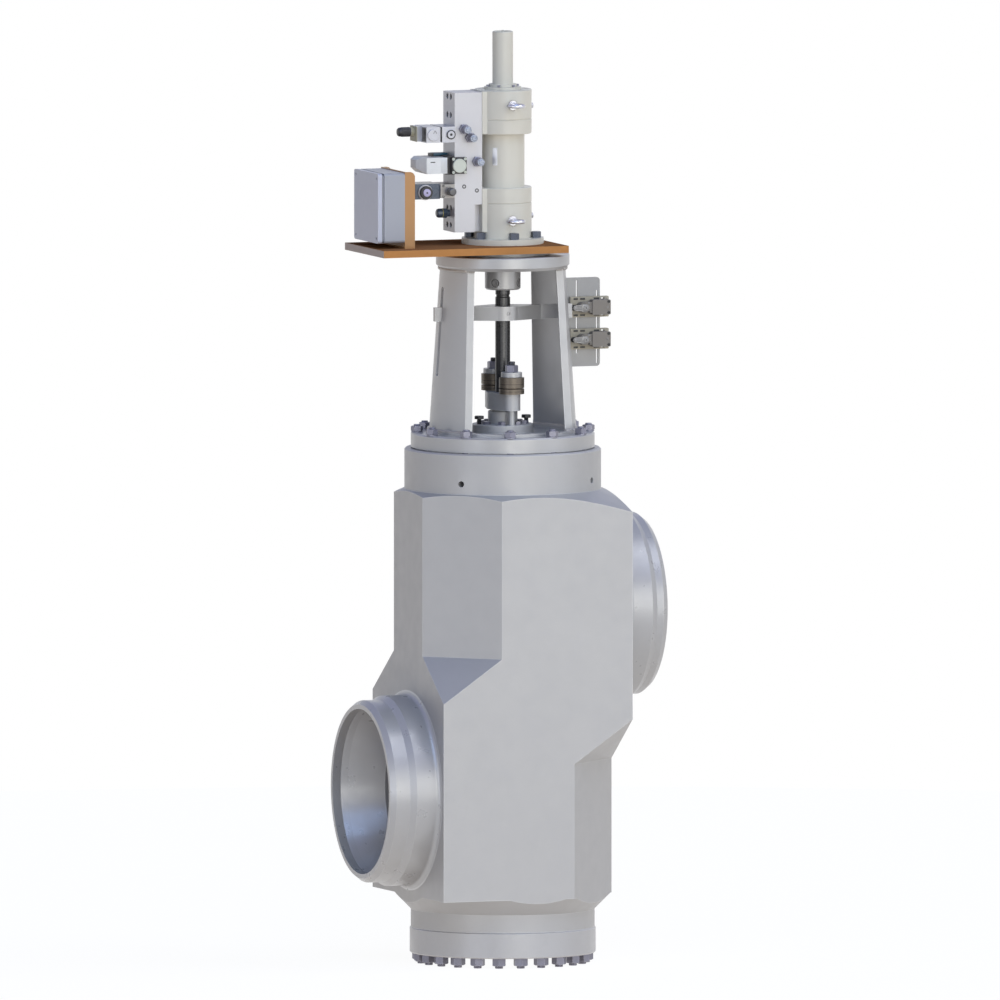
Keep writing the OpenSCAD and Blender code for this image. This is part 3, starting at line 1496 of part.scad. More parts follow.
// Studs and nuts of the bottom cover
module bottom_bolting() {
    bottom_studs();
    bottom_nuts();
}

// Studs and nuts of the gland
module gland_bolting() {
    gland_studs();
    gland_nuts();
}

// Screws of the cylinder's foot, of its upper head and of the manifold
module cylinder_screws() {
    cylinder_bolts();
    head_screws();
    manifold_screws();
}

// Test couplings and plug of the manifold
module manifold_fittings() {
    test_couplings();
    bleed_plug();
}

body_forging();
inlet_nozzle();
outlet_nozzle();
bottom_cover();
gaskets_and_packing();
bottom_bolting();
seat_ring();
cage();
bonnet();
pressure_seal_ring();
spacer_ring();
segment_ring();
yoke_base();
yoke_bolts();
yoke_leg_left();
yoke_leg_right();
yoke_head();
packing_box();
packing_box_screws();
gland_follower();
gland_flange();
gland_bolting();
disc_springs();
spring_washers();
switch_plate();
limit_switches();
actuator_plate();
box_bracket();
junction_box();
box_lid();
lid_screws();
cylinder_screws();
lower_head();
barrel();
upper_head();
sensor_flange();
sensor_housing();
sensor_rod();
manifold_block();
manifold_fittings();
lifting_eyes();
solenoid_valve();
solenoid_cap();
servo_valve();
servo_base();
servo_cover();
flow_valve();
flow_subplate();
piston();
piston_rod();
rod_coupling();
coupling_screws();
stem();
plug();
seal_rings();
travel_bar();
lever_upper();
lever_lower();
flow_knob();
relief_knob();
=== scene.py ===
"""Looks of the control valve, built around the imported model. Metres, Z up.

The inlet faces -X, the outlet +X, and the knobs and test couplings face -Y.
"""

import json
import math
import random

import bmesh
import bpy
from mathutils import Matrix, Vector


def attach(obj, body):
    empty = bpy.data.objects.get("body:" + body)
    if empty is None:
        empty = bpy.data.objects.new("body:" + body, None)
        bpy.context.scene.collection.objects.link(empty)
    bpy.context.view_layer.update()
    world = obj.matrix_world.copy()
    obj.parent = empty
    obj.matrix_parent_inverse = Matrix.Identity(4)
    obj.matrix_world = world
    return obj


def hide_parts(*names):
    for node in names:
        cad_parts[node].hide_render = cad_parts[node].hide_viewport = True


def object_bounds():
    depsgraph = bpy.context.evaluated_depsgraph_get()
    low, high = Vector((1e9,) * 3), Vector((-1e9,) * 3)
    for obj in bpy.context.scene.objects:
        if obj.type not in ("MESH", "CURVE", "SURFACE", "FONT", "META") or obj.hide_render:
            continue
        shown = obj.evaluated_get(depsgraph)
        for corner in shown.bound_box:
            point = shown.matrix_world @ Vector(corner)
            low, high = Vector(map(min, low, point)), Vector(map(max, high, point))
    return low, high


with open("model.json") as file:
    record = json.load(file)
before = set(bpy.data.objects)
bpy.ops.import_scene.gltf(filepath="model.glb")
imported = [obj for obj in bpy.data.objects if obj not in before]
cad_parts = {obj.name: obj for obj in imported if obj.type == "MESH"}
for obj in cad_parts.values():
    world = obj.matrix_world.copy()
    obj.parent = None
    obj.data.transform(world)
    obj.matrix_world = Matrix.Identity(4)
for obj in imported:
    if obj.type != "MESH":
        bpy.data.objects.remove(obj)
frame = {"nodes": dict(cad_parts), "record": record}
cad_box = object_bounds()
nodes = frame["nodes"]
scene = bpy.context.scene
scene.view_settings.view_transform = "Standard"
random.seed(7)

MM = 0.001
BODY = "valve"
FRONT = (0, -1, 0)
LEFT = (-1, 0, 0)

# Camera and light

VIEW_AZIMUTH = -20
VIEW_ELEVATION = 4.7
VIEW_HEIGHT = 2.8
PIXEL = VIEW_HEIGHT / 1000
AXIS_PIXEL_X = 502.7
BASE_PIXEL_Y = 961.7
CAMERA_DISTANCE = 8
FLOOR_RADIUS = 6
WHITE = (1, 1, 1)
ZENITH_SEEN = (0.46, 0.47, 0.70)
UPPER_SKY_SEEN = (0.56, 0.57, 0.84)
GROUND_FILL = (0.04, 0.035, 0.03)
ZENITH_FILL = (0.04, 0.04, 0.07)
FLOOR_SEEN = (1.05, 1.055, 1.06)
FLOOR_BOUNCE = (1.35, 1.08, 0.76)


def direction(azimuth, elevation):
    """Unit vector from the object toward a point at that azimuth and elevation; azimuth 0 is -Y."""
    a = math.radians(azimuth)
    e = math.radians(elevation)
    return Vector((math.sin(a) * math.cos(e), -math.cos(a) * math.cos(e), math.sin(e)))


def make_camera():
    """Parallel camera whose frame puts the stem axis and the base where the photo has them."""
    back = direction(VIEW_AZIMUTH, VIEW_ELEVATION)
    turn = (-back).to_track_quat("-Z", "Y")
    right = turn @ Vector((1, 0, 0))
    up = turn @ Vector((0, 1, 0))
    centre = right * (500 - AXIS_PIXEL_X) * PIXEL + up * (BASE_PIXEL_Y - 500) * PIXEL
    data = bpy.data.cameras.new("camera")
    data.type = "ORTHO"
    data.ortho_scale = VIEW_HEIGHT
    data.clip_end = 50
    camera = bpy.data.objects.new("camera", data)
    camera.rotation_mode = "QUATERNION"
    camera.rotation_quaternion = turn
    camera.location = centre + back * CAMERA_DISTANCE
    scene.collection.objects.link(camera)
    scene.camera = camera


def sun(name, azimuth, elevation, angle, strength, colour):
    """Sun lamp that shines from an azimuth and elevation, with a soft disc of angle degrees."""
    data = bpy.data.lights.new(name, "SUN")
    data.energy = strength
    data.angle = math.radians(angle)
    data.color = colour
    lamp = bpy.data.objects.new(name, data)
    lamp.rotation_mode = "QUATERNION"
    lamp.rotation_quaternion = direction(azimuth, elevation).to_track_quat("Z", "Y")
    scene.collection.objects.link(lamp)


def seen_directly(tree):
    """Socket that is 1 for camera, glossy and transmission rays."""
    path = tree.nodes.new("ShaderNodeLightPath")
    total = None
    for ray in ("Is Camera Ray", "Is Glossy Ray", "Is Transmission Ray"):
        if total is None:
            total = path.outputs[ray]
            continue
        add = tree.nodes.new("ShaderNodeMath")
        add.operation = "MAXIMUM"
        tree.links.new(total, add.inputs[0])
        tree.links.new(path.outputs[ray], add.inputs[1])
        total = add.outputs[0]
    return total


def mix_colours(tree, factor, a, b):
    """Mix of two colours, each a socket or a tuple."""
    node = tree.nodes.new("ShaderNodeMix")
    node.data_type = "RGBA"
    tree.links.new(factor, node.inputs[0])
    for socket, value in zip([s for s in node.inputs if s.type == "RGBA"], (a, b)):
        if isinstance(value, tuple):
            socket.default_value = (*value, 1)
        else:
            tree.links.new(value, socket)
    return next(s for s in node.outputs if s.type == "RGBA")


def sky_ramp(tree, height, stops):
    """Colour ramp over the height of a direction, given as (height, colour) from -1 to 1."""
    ramp = tree.nodes.new("ShaderNodeValToRGB")
    ramp.color_ramp.interpolation = "EASE"
    elements = ramp.color_ramp.elements
    elements[0].position = (stops[0][0] + 1) / 2
    elements[0].color = (*stops[0][1], 1)
    elements[1].position = (stops[-1][0] + 1) / 2
    elements[1].color = (*stops[-1][1], 1)
    for level, colour in stops[1:-1]:
        element = elements.new((level + 1) / 2)
        element.color = (*colour, 1)
    tree.links.new(height, ramp.inputs[0])
    return ramp.outputs[0]


def make_world():
    """White horizon that shows as the background, with a darker and bluer zenith."""
    world = bpy.data.worlds.new("studio")
    scene.world = world
    world.use_nodes = True
    tree = world.node_tree
    tree.nodes.clear()
    coordinates = tree.nodes.new("ShaderNodeTexCoord")
    split = tree.nodes.new("ShaderNodeSeparateXYZ")
    tree.links.new(coordinates.outputs["Generated"], split.inputs[0])
    scale = tree.nodes.new("ShaderNodeMath")
    scale.operation = "MULTIPLY_ADD"
    scale.inputs[1].default_value = 0.5
    scale.inputs[2].default_value = 0.5
    tree.links.new(split.outputs["Z"], scale.inputs[0])
    seen = sky_ramp(tree, scale.outputs[0],
                    [(-1, WHITE), (0.25, WHITE), (0.6, UPPER_SKY_SEEN), (1, ZENITH_SEEN)])
    fill = sky_ramp(tree, scale.outputs[0], [(-1, GROUND_FILL), (1, ZENITH_FILL)])
    mixed = mix_colours(tree, seen_directly(tree), fill, seen)
    light = tree.nodes.new("ShaderNodeBackground")
    output = tree.nodes.new("ShaderNodeOutputWorld")
    tree.links.new(mixed, light.inputs["Color"])
    tree.links.new(light.outputs[0], output.inputs[0])


def make_floor():
    """White round floor that keeps a faint shadow and throws a warm light up at the object."""
    mesh = bpy.data.meshes.new("floor")
    shape = bmesh.new()
    bmesh.ops.create_circle(shape, cap_ends=True, segments=96, radius=FLOOR_RADIUS)
    shape.to_mesh(mesh)
    shape.free()
    floor = bpy.data.objects.new("floor", mesh)
    floor.location.z = cad_box[0].z
    scene.collection.objects.link(floor)
    material = bpy.data.materials.new("floor_white")
    material.use_nodes = True
    tree = material.node_tree
    surface = tree.nodes["Principled BSDF"]
    surface.inputs["Base Color"].default_value = (0.9, 0.9, 0.9, 1)
    surface.inputs["Roughness"].default_value = 0.8
    seen = seen_directly(tree)
    glow = tree.nodes.new("ShaderNodeEmission")
    tree.links.new(mix_colours(tree, seen, FLOOR_BOUNCE, FLOOR_SEEN), glow.inputs["Color"])
    scale = tree.nodes.new("ShaderNodeMath")
    scale.operation = "MULTIPLY_ADD"
    scale.inputs[1].default_value = 0.5
    scale.inputs[2].default_value = 0.4
    tree.links.new(seen, scale.inputs[0])
    mix = tree.nodes.new("ShaderNodeMixShader")
    tree.links.new(scale.outputs[0], mix.inputs[0])
    tree.links.new(surface.outputs[0], mix.inputs[1])
    tree.links.new(glow.outputs[0], mix.inputs[2])
    tree.links.new(mix.outputs[0], tree.nodes["Material Output"].inputs[0])
    mesh.materials.append(material)


make_camera()
make_world()
make_floor()
sun("key", 1, 8, 45, 1.06, (0.98, 0.97, 0.90))
sun("side", 46, 8, 40, 0.37, (0.90, 0.94, 1))
sun("edge", -56, 8, 28, 0.36, (0.88, 0.92, 1))
sun("cool_top", -20, 50, 40, 0.78, (0.42, 0.63, 1))
sun("top", 60, 50, 40, 0.90, (0.96, 0.98, 1))

# Materials

# Scale of Blender's wave texture for bands one unit apart
WAVE_PER_PITCH = 0.314
# Places in mm where one material changes colour
LID_LEFT_X, LID_SEAM_X, BOX_LEFT_X = -500, -395, -392
SWITCH_BASE_Y, SWITCH_BACK_Y = 21.9, 60
SPRING_JOINTS_Z = (1608.0, 1628.8)
SPRING_JOINT_HEIGHT = 1.1
# Cosine beyond which a face counts as turned straight up, or straight to -X
FACING = 0.8


class Shader:
    """A material with a Principled surface, and helpers that add textures to it."""

    def __init__(self, name, colour, metallic, roughness):
        self.material = bpy.data.materials.new(name)
        self.material.use_nodes = True
        self.tree = self.material.node_tree
        self.surface = self.tree.nodes["Principled BSDF"]
        self.surface.inputs["Metallic"].default_value = metallic
        self.surface.inputs["Roughness"].default_value = roughness
        self.colour = colour
        self.roughness = roughness
        self.place = self.tree.nodes.new("ShaderNodeTexCoord").outputs["Object"]
        self.paint = self.flat(colour)
        self.height = None
        self.rough = None

    def flat(self, colour):
        """Socket with one colour."""
        node = self.tree.nodes.new("ShaderNodeRGB")
        node.outputs[0].default_value = (*colour, 1)
        return node.outputs[0]

    def math(self, operation, a, b):
        """Result of an operation on two values, each a socket or a number."""
        node = self.tree.nodes.new("ShaderNodeMath")
        node.operation = operation
        for socket, value in zip(node.inputs, (a, b)):
            if isinstance(value, (int, float)):
                socket.default_value = value
            else:
                self.tree.links.new(value, socket)
        return node.outputs[0]

    def noise(self, scale, detail=4, stretch=(1, 1, 1)):
        """Noise of a number of cells per metre, squeezed along the axes by stretch."""
        mapping = self.tree.nodes.new("ShaderNodeMapping")
        mapping.inputs["Scale"].default_value = stretch
        self.tree.links.new(self.place, mapping.inputs[0])
        node = self.tree.nodes.new("ShaderNodeTexNoise")
        node.inputs["Scale"].default_value = scale
        node.inputs["Detail"].default_value = detail
        self.tree.links.new(mapping.outputs[0], node.inputs[0])
        return node.outputs[0]

    def remap(self, value, low, high, to_low, to_high):
        """Value carried from one range to another, and held at its ends."""
        node = self.tree.nodes.new("ShaderNodeMapRange")
        for socket, number in zip(node.inputs[1:5], (low, high, to_low, to_high)):
            socket.default_value = number
        self.tree.links.new(value, node.inputs[0])
        return node.outputs[0]

    def between(self, axis, low, high):
        """1 where the position along an axis lies between two values in mm."""
        split = self.tree.nodes.new("ShaderNodeSeparateXYZ")
        self.tree.links.new(self.place, split.inputs[0])
        value = split.outputs[axis]
        return self.math("MULTIPLY", self.math("GREATER_THAN", value, low * MM),
                         self.math("LESS_THAN", value, high * MM))

    def tint(self, mask, colour):
        """Mixes the paint toward a colour where the mask is high."""
        self.paint = mix_colours(self.tree, mask, self.paint, colour)

    def mottle(self, scale, amount):
        """Clouds of slightly darker and lighter colour."""
        cloud = self.noise(scale)
        dark = tuple(c * (1 - amount) for c in self.colour)
        light = tuple(min(1, c * (1 + amount)) for c in self.colour)
        self.tint(self.remap(cloud, 0.45, 0.3, 0, 1), dark)
        self.tint(self.remap(cloud, 0.55, 0.7, 0, 1), light)

    def vary_gloss(self, scale, spread, detail=3, stretch=(1, 1, 1)):
        """Roughness that wanders round its mean."""
        low = max(0.02, self.roughness - spread)
        high = self.roughness + spread
        self.rough = self.remap(self.noise(scale, detail, stretch), 0.3, 0.7, low, high)

    def relief(self, value, depth):
        """Adds a height in metres to the bump."""
        scaled = self.math("MULTIPLY", value, depth)
        self.height = scaled if self.height is None else self.math("ADD", self.height, scaled)

    def lathe_rings(self, pitch, axis="Z"):
        """Fine tool marks, as bands along an axis at a pitch in metres."""
        node = self.tree.nodes.new("ShaderNodeTexWave")
        node.wave_type = "BANDS"
        node.bands_direction = axis
        node.inputs["Scale"].default_value = WAVE_PER_PITCH / pitch
        node.inputs["Distortion"].default_value = 0.6
        node.inputs["Detail"].default_value = 1
        self.tree.links.new(self.place, node.inputs[0])
        return node.outputs["Fac"]

    def painted_edge_highlight(self, radius, colour, strength=0.6):
        """Painted highlight: lighter colour along the edges where light would catch them, found
        where a rounded normal leaves the true one.
        """
        bevel = self.tree.nodes.new("ShaderNodeBevel")
        bevel.samples = 4
        bevel.inputs["Radius"].default_value = radius
        true_normal = self.tree.nodes.new("ShaderNodeNewGeometry").outputs["True Normal"]
        dot = self.tree.nodes.new("ShaderNodeVectorMath")
        dot.operation = "DOT_PRODUCT"
        self.tree.links.new(bevel.outputs[0], dot.inputs[0])
        self.tree.links.new(true_normal, dot.inputs[1])
        self.tint(self.remap(dot.outputs["Value"], 0.97, 0.85, 0, strength), colour)

    def finish(self):
        """Links colour, roughness and bump to the surface and returns the material."""
        self.tree.links.new(self.paint, self.surface.inputs["Base Color"])
        if self.rough is not None:
            self.tree.links.new(self.rough, self.surface.inputs["Roughness"])
        if self.height is not None:
            bump = self.tree.nodes.new("ShaderNodeBump")
            bump.inputs["Distance"].default_value = 1
            self.tree.links.new(self.height, bump.inputs["Height"])
            self.tree.links.new(bump.outputs[0], self.surface.inputs["Normal"])
        return self.material


def steel(name, colour, metallic=0.3, roughness=0.40, grain=0.00004, cloud=0.05):
    """Satin steel with faint clouds, fine grain and an uneven gloss."""
    shader = Shader(name, colour, metallic, roughness)
    shader.mottle(7, cloud)
    shader.mottle(60, cloud * 0.5)
    shader.vary_gloss(25, 0.06)
    shader.relief(shader.noise(700, 3), grain)
    return shader


def turned_steel(name, colour, axis="Z", **settings):
    """Satin steel with fine lathe marks round an axis."""
    shader = steel(name, colour, **settings)
    shader.relief(shader.lathe_rings(0.0024, axis), 0.00002)
    return shader


def paint(name, colour, roughness=0.4):
    """Even paint with a faint orange peel and slight dirt clouds."""
    shader = Shader(name, colour, 0, roughness)
    shader.surface.inputs["Coat Weight"].default_value = 0.15
    shader.surface.inputs["Coat Roughness"].default_value = 0.25
    shader.mottle(9, 0.03)
    shader.vary_gloss(40, 0.05)
    shader.relief(shader.noise(420, 2), 0.00005)
    return shader


def plastic(name, colour, roughness=0.5):
    """Moulded plastic with a fine spark-eroded grain."""
    shader = Shader(name, colour, 0, roughness)
    shader.mottle(30, 0.05)
    shader.vary_gloss(60, 0.06)
    shader.relief(shader.noise(1500, 2), 0.00003)
    return shader


# Colour of the painted highlight that the edge helper lays along steel edges
EDGE_HIGHLIGHT_COLOUR = (0.72, 0.73, 0.75)
FORGED = (0.418, 0.422, 0.434)


def make_forged():
    shader = steel("forged_steel", FORGED, roughness=0.46, grain=0.00008, cloud=0.014)
    shader.painted_edge_highlight(0.004, EDGE_HIGHLIGHT_COLOUR, 0.5)
    return shader.finish()


def make_turned():
    shader = turned_steel("turned_steel", FORGED, roughness=0.36, cloud=0.015)
    shader.painted_edge_highlight(0.003, EDGE_HIGHLIGHT_COLOUR, 0.5)
    return shader.finish()


def make_nozzle_steel():
    shader = turned_steel("nozzle_steel", (0.415, 0.42, 0.436), "X", roughness=0.32, cloud=0.015)
    shader.painted_edge_highlight(0.003, EDGE_HIGHLIGHT_COLOUR, 0.5)
    return shader.finish()


def make_weld():
    """Weld metal: short scales and a slight tan heat tint."""
    shader = steel("weld_metal", (0.40, 0.385, 0.375), roughness=0.42, grain=0.0001, cloud=0.12)
    shader.relief(shader.noise(260, 2), 0.0005)
    return shader.finish()


def make_bolting():
    shader = steel("bolting_steel", (0.21, 0.21, 0.265), metallic=0.5, roughness=0.36, cloud=0.12)
    shader.painted_edge_highlight(0.0012, (0.58, 0.58, 0.66), 0.7)
    return shader.finish()


def make_chrome():
    colour = (0.58, 0.58, 0.62)
    return steel("bright_steel", colour, metallic=0.8, roughness=0.18, cloud=0.04).finish()


def make_blued_cap():
    shader = steel("blued_cap", (0.26, 0.29, 0.36), metallic=0.6, roughness=0.28, cloud=0.06)
    shader.painted_edge_highlight(0.0006, (0.66, 0.70, 0.80), 0.7)
    return shader.finish()


def make_lever_steel():
    shader = steel("lever_steel", (0.20, 0.20, 0.205), metallic=0.5, roughness=0.32, cloud=0.06)
    shader.painted_edge_highlight(0.0008, (0.60, 0.60, 0.61), 0.7)
    return shader.finish()


def make_block_metal():
    shader = steel("block_metal", (0.50, 0.51, 0.56), metallic=0.3, roughness=0.35, cloud=0.03)
    shader.painted_edge_highlight(0.001, (0.75, 0.76, 0.82), 0.5)
    return shader.finish()


def make_subplate():
    shader = steel("subplate_metal", (0.34, 0.325, 0.31), metallic=0.3, roughness=0.38, cloud=0.04)
    shader.painted_edge_highlight(0.001, (0.62, 0.60, 0.58), 0.5)
    return shader.finish()


def make_blued_bolts():
    shader = steel("blued_bolts", (0.105, 0.12, 0.155), metallic=0.5, roughness=0.36, cloud=0.1)
    shader.painted_edge_highlight(0.001, (0.34, 0.36, 0.42), 0.7)
    return shader.finish()


# A lighter copy of the turned steel: painted light that makes up for the light the floor keeps off
# the bottom cover
def make_cover_steel():
    shader = turned_steel("cover_steel", (0.43, 0.436, 0.457), roughness=0.36, cloud=0.03)
    shader.painted_edge_highlight(0.003, EDGE_HIGHLIGHT_COLOUR, 0.5)
    return shader.finish()


def make_sheet_steel():
    """Rolled plate, a little darker than the turned parts."""
    shader = steel("sheet_steel", (0.29, 0.292, 0.30), roughness=0.42, cloud=0.04)
    shader.painted_edge_highlight(0.001, EDGE_HIGHLIGHT_COLOUR, 0.6)
    return shader.finish()


def make_socket_steel():
    shader = steel("socket_steel", (0.36, 0.36, 0.37), metallic=0.5, roughness=0.35, cloud=0.1)
    shader.painted_edge_highlight(0.0012, (0.50, 0.50, 0.52), 0.7)
    return shader.finish()


def make_dark_steel():
    shader = steel("dark_steel", (0.10, 0.10, 0.105), metallic=0.6, roughness=0.33, cloud=0.15)
    shader.relief(shader.lathe_rings(0.0016), 0.00002)
    return shader.finish()


def make_stem_steel():
    """Ground stem and piston rod."""
    shader = steel("ground_steel", (0.065, 0.065, 0.067), metallic=0.5, roughness=0.26, cloud=0.06)
    shader.relief(shader.lathe_rings(0.0008), 0.00001)
    return shader.finish()


def make_spring_steel():
    """Bronze-brown disc springs, with dark lines of painted shade at two joints whose gaps are too
    narrow to show.
    """
    shader = steel("spring_bronze", (0.14, 0.118, 0.094), metallic=0.5, roughness=0.38, cloud=0.2)
    for low in SPRING_JOINTS_Z:
        joint_shade = shader.between("Z", low, low + SPRING_JOINT_HEIGHT)
        # Painted shade: dark lines where the narrow gaps between discs would be shaded
        shader.tint(joint_shade, (0.02, 0.016, 0.012))
    shader.painted_edge_highlight(0.001, (0.26, 0.20, 0.15), 0.8)
    return shader.finish()


def make_cream():
    return paint("cream_paint", (0.68, 0.665, 0.60)).finish()


def make_copper():
    """Brown coated plate, darker on its broad top, partly its own tone and partly painted shade,
    and greyer on its cut -X end.
    """
    shader = Shader("copper_coating", (0.50, 0.24, 0.088), 0, 0.45)
    shader.surface.inputs["Specular IOR Level"].default_value = 0.0
    normal = shader.tree.nodes.new("ShaderNodeNewGeometry").outputs["Normal"]
    split = shader.tree.nodes.new("ShaderNodeSeparateXYZ")
    shader.tree.links.new(normal, split.inputs[0])
    shader.mottle(5, 0.10)
    shader.mottle(40, 0.05)
    # Painted shade, in part: the broad top is darker where it catches less light
    shader.tint(shader.math("GREATER_THAN", split.outputs["Z"], FACING), (0.30, 0.145, 0.068))
    shader.tint(shader.math("LESS_THAN", split.outputs["X"], -FACING), (0.60, 0.54, 0.51))
    shader.painted_edge_highlight(0.002, (0.62, 0.34, 0.15), 0.5)
    shader.vary_gloss(18, 0.08)
    shader.relief(shader.noise(300, 3), 0.00004)
    return shader.finish()


def make_bracket_paint():
    return paint("bracket_orange", (0.46, 0.235, 0.085), roughness=0.40).finish()


def make_aluminium():
    shader = Shader("milled_aluminium", (0.54, 0.54, 0.57), 0.3, 0.40)
    shader.mottle(12, 0.03)
    shader.relief(shader.lathe_rings(0.0012, "X"), 0.00001)
    shader.vary_gloss(80, 0.05, 2, (1, 1, 8))
    shader.painted_edge_highlight(0.001, (0.80, 0.80, 0.82), 0.5)
    return shader.finish()


def make_box_enamel():
    """Grey-blue enamel, a little lighter on the lid, with a dark seam of painted shade behind the
    lid.
    """
    shader = paint("box_enamel", (0.37, 0.39, 0.45), roughness=0.42)
    shader.tint(shader.between("X", LID_LEFT_X, LID_SEAM_X), (0.51, 0.54, 0.66))
    # Painted shade: the narrow gap between lid and box is coloured dark
    shader.tint(shader.between("X", LID_SEAM_X, BOX_LEFT_X), (0.12, 0.125, 0.15))
    shader.painted_edge_highlight(0.0015, (0.66, 0.68, 0.76), 0.4)
    return shader.finish()


def make_switch_plastic():
    """Brown-grey switch housing on a tan slotted base."""
    shader = plastic("switch_housing", (0.20, 0.185, 0.17))
    shader.tint(shader.between("Y", SWITCH_BASE_Y, SWITCH_BACK_Y), (0.38, 0.355, 0.29))
    shader.painted_edge_highlight(0.0012, (0.42, 0.40, 0.37), 0.5)
    return shader.finish()


def make_valve_grey():
    shader = paint("valve_grey", (0.34, 0.345, 0.37), roughness=0.36)
    shader.painted_edge_highlight(0.001, (0.60, 0.61, 0.66), 0.5)
    return shader.finish()


def make_valve_white():
    return plastic("valve_white", (0.80, 0.82, 0.84), roughness=0.4).finish()


def make_valve_blue():
    return paint("valve_blue", (0.06, 0.085, 0.13), roughness=0.3).finish()


def make_black():
    return plastic("black_plastic", (0.02, 0.02, 0.023), roughness=0.42).finish()


def make_graphite():
    return plastic("graphite", (0.05, 0.05, 0.055), roughness=0.6).finish()


def make_pale_cap():
    return plastic("pale_cap", (0.62, 0.66, 0.60), roughness=0.38).finish()


def make_lilac():
    return plastic("lilac_cap", (0.50, 0.47, 0.72), roughness=0.3).finish()


def make_teal():
    return plastic("deep_blue", (0.015, 0.09, 0.16), roughness=0.35).finish()


def make_tan():
    return plastic("tan_plastic", (0.42, 0.40, 0.30), roughness=0.5).finish()


def make_yellow():
    return plastic("olive_ring", (0.34, 0.30, 0.10), roughness=0.45).finish()


def make_plate_foil():
    """Bare engraved-plate aluminium, brushed along its length."""
    shader = Shader("plate_foil", (0.56, 0.57, 0.60), 0.7, 0.32)
    shader.vary_gloss(120, 0.08, 3, (1, 1, 0.05))
    shader.relief(shader.noise(900, 2, (1, 1, 0.04)), 0.00002)
    return shader.finish()


# Looks by the material slot of the record
LOOKS = {
    "forged_steel": make_forged(),
    "machined_steel": make_turned(),
    "bolting": make_bolting(),
    "dark_steel": make_dark_steel(),
    "cream_paint": make_cream(),
    "copper_plate": make_copper(),
    "manifold_aluminium": make_aluminium(),
    "graphite": make_graphite(),
    "spring_bronze": make_spring_steel(),
    "switch_housing": make_switch_plastic(),
    "box_enamel": make_box_enamel(),
    "valve_grey": make_valve_grey(),
    "valve_white": make_valve_white(),
    "valve_blue": make_valve_blue(),
    "knob_black": make_black(),
}
# Looks of single nodes, which come before their slot's look
SPECIAL = {
    "inlet_nozzle": make_nozzle_steel(),
    "box_bracket": make_bracket_paint(),
    "stem": make_stem_steel(),
    "lifting_eyes": make_chrome(),
    "servo_cover": make_pale_cap(),
    "solenoid_valve": make_block_metal(),
    "flow_subplate": make_subplate(),
    "bottom_cover": make_cover_steel(),
    "coupling_screws": make_socket_steel(),
    "lid_screws": make_dark_steel(),
    "switch_plate": make_sheet_steel(),
}
SPECIAL["outlet_nozzle"] = SPECIAL["inlet_nozzle"]
SPECIAL["piston_rod"] = SPECIAL["stem"]
WELD = make_weld()
BLUED_CAP = make_blued_cap()
BLUED_BOLTS = make_blued_bolts()
LEVER_STEEL = make_lever_steel()
PALE_CAP = SPECIAL["servo_cover"]
LILAC = make_lilac()
TEAL = make_teal()
TAN = make_tan()
YELLOW = make_yellow()
FOIL = make_plate_foil()
BLACK = LOOKS["knob_black"]
DARK = LOOKS["dark_steel"]
BOLTING = LOOKS["bolting"]


def dress_nodes():
    """Gives every CAD node its own look, or the look of its record slot."""
    slots = {part["node"]: part["material_slot"] for part in frame["record"]["subparts"]}
    for name, node in nodes.items():
        node.data.materials.clear()
        node.data.materials.append(SPECIAL.get(name) or LOOKS[slots[name]])


dress_nodes()

# Shapes, in millimetres

SIDES = 48
# Angle in degrees from which an edge between two faces stays sharp
SHARP_ANGLE = 26
# Distance in mm between two sections of a weld bead
BEAD_STEP = 3.0


def place(origin, axis=(0, 0, 1), spin=0):
    """Matrix that puts a local shape at a point, its Z along an axis, turned by spin degrees."""
    turn = Vector(axis).to_track_quat("Z", "Y").to_matrix().to_4x4()
    return Matrix.Translation(Vector(origin)) @ turn @ Matrix.Rotation(math.radians(spin), 4, "Z")


def on_circle(count, radius, z, start=0):
    """Places on a circle round the stem axis, each turned to face outward."""
    places = []
    for i in range(count):
        degrees = start + 360 * i / count
        a = math.radians(degrees)
        places.append(place((radius * math.cos(a), radius * math.sin(a), z), spin=degrees))
    return places


def circle(radius, z, sides=SIDES):
    """Ring of points round Z."""
    turns = [2 * math.pi * i / sides for i in range(sides)]
    return [(radius * math.cos(a), radius * math.sin(a), z) for a in turns]


def six_sided(across, z):
    """Ring of points on a hexagon; z is a height, or a function of the distance from the axis."""
    points = []
    for i in range(SIDES):
        a = 2 * math.pi * i / SIDES
        reach = across / 2 / math.cos(a % (math.pi / 3) - math.pi / 6)
        level = z(reach) if callable(z) else z
        points.append((reach * math.cos(a), reach * math.sin(a), level))
    return points


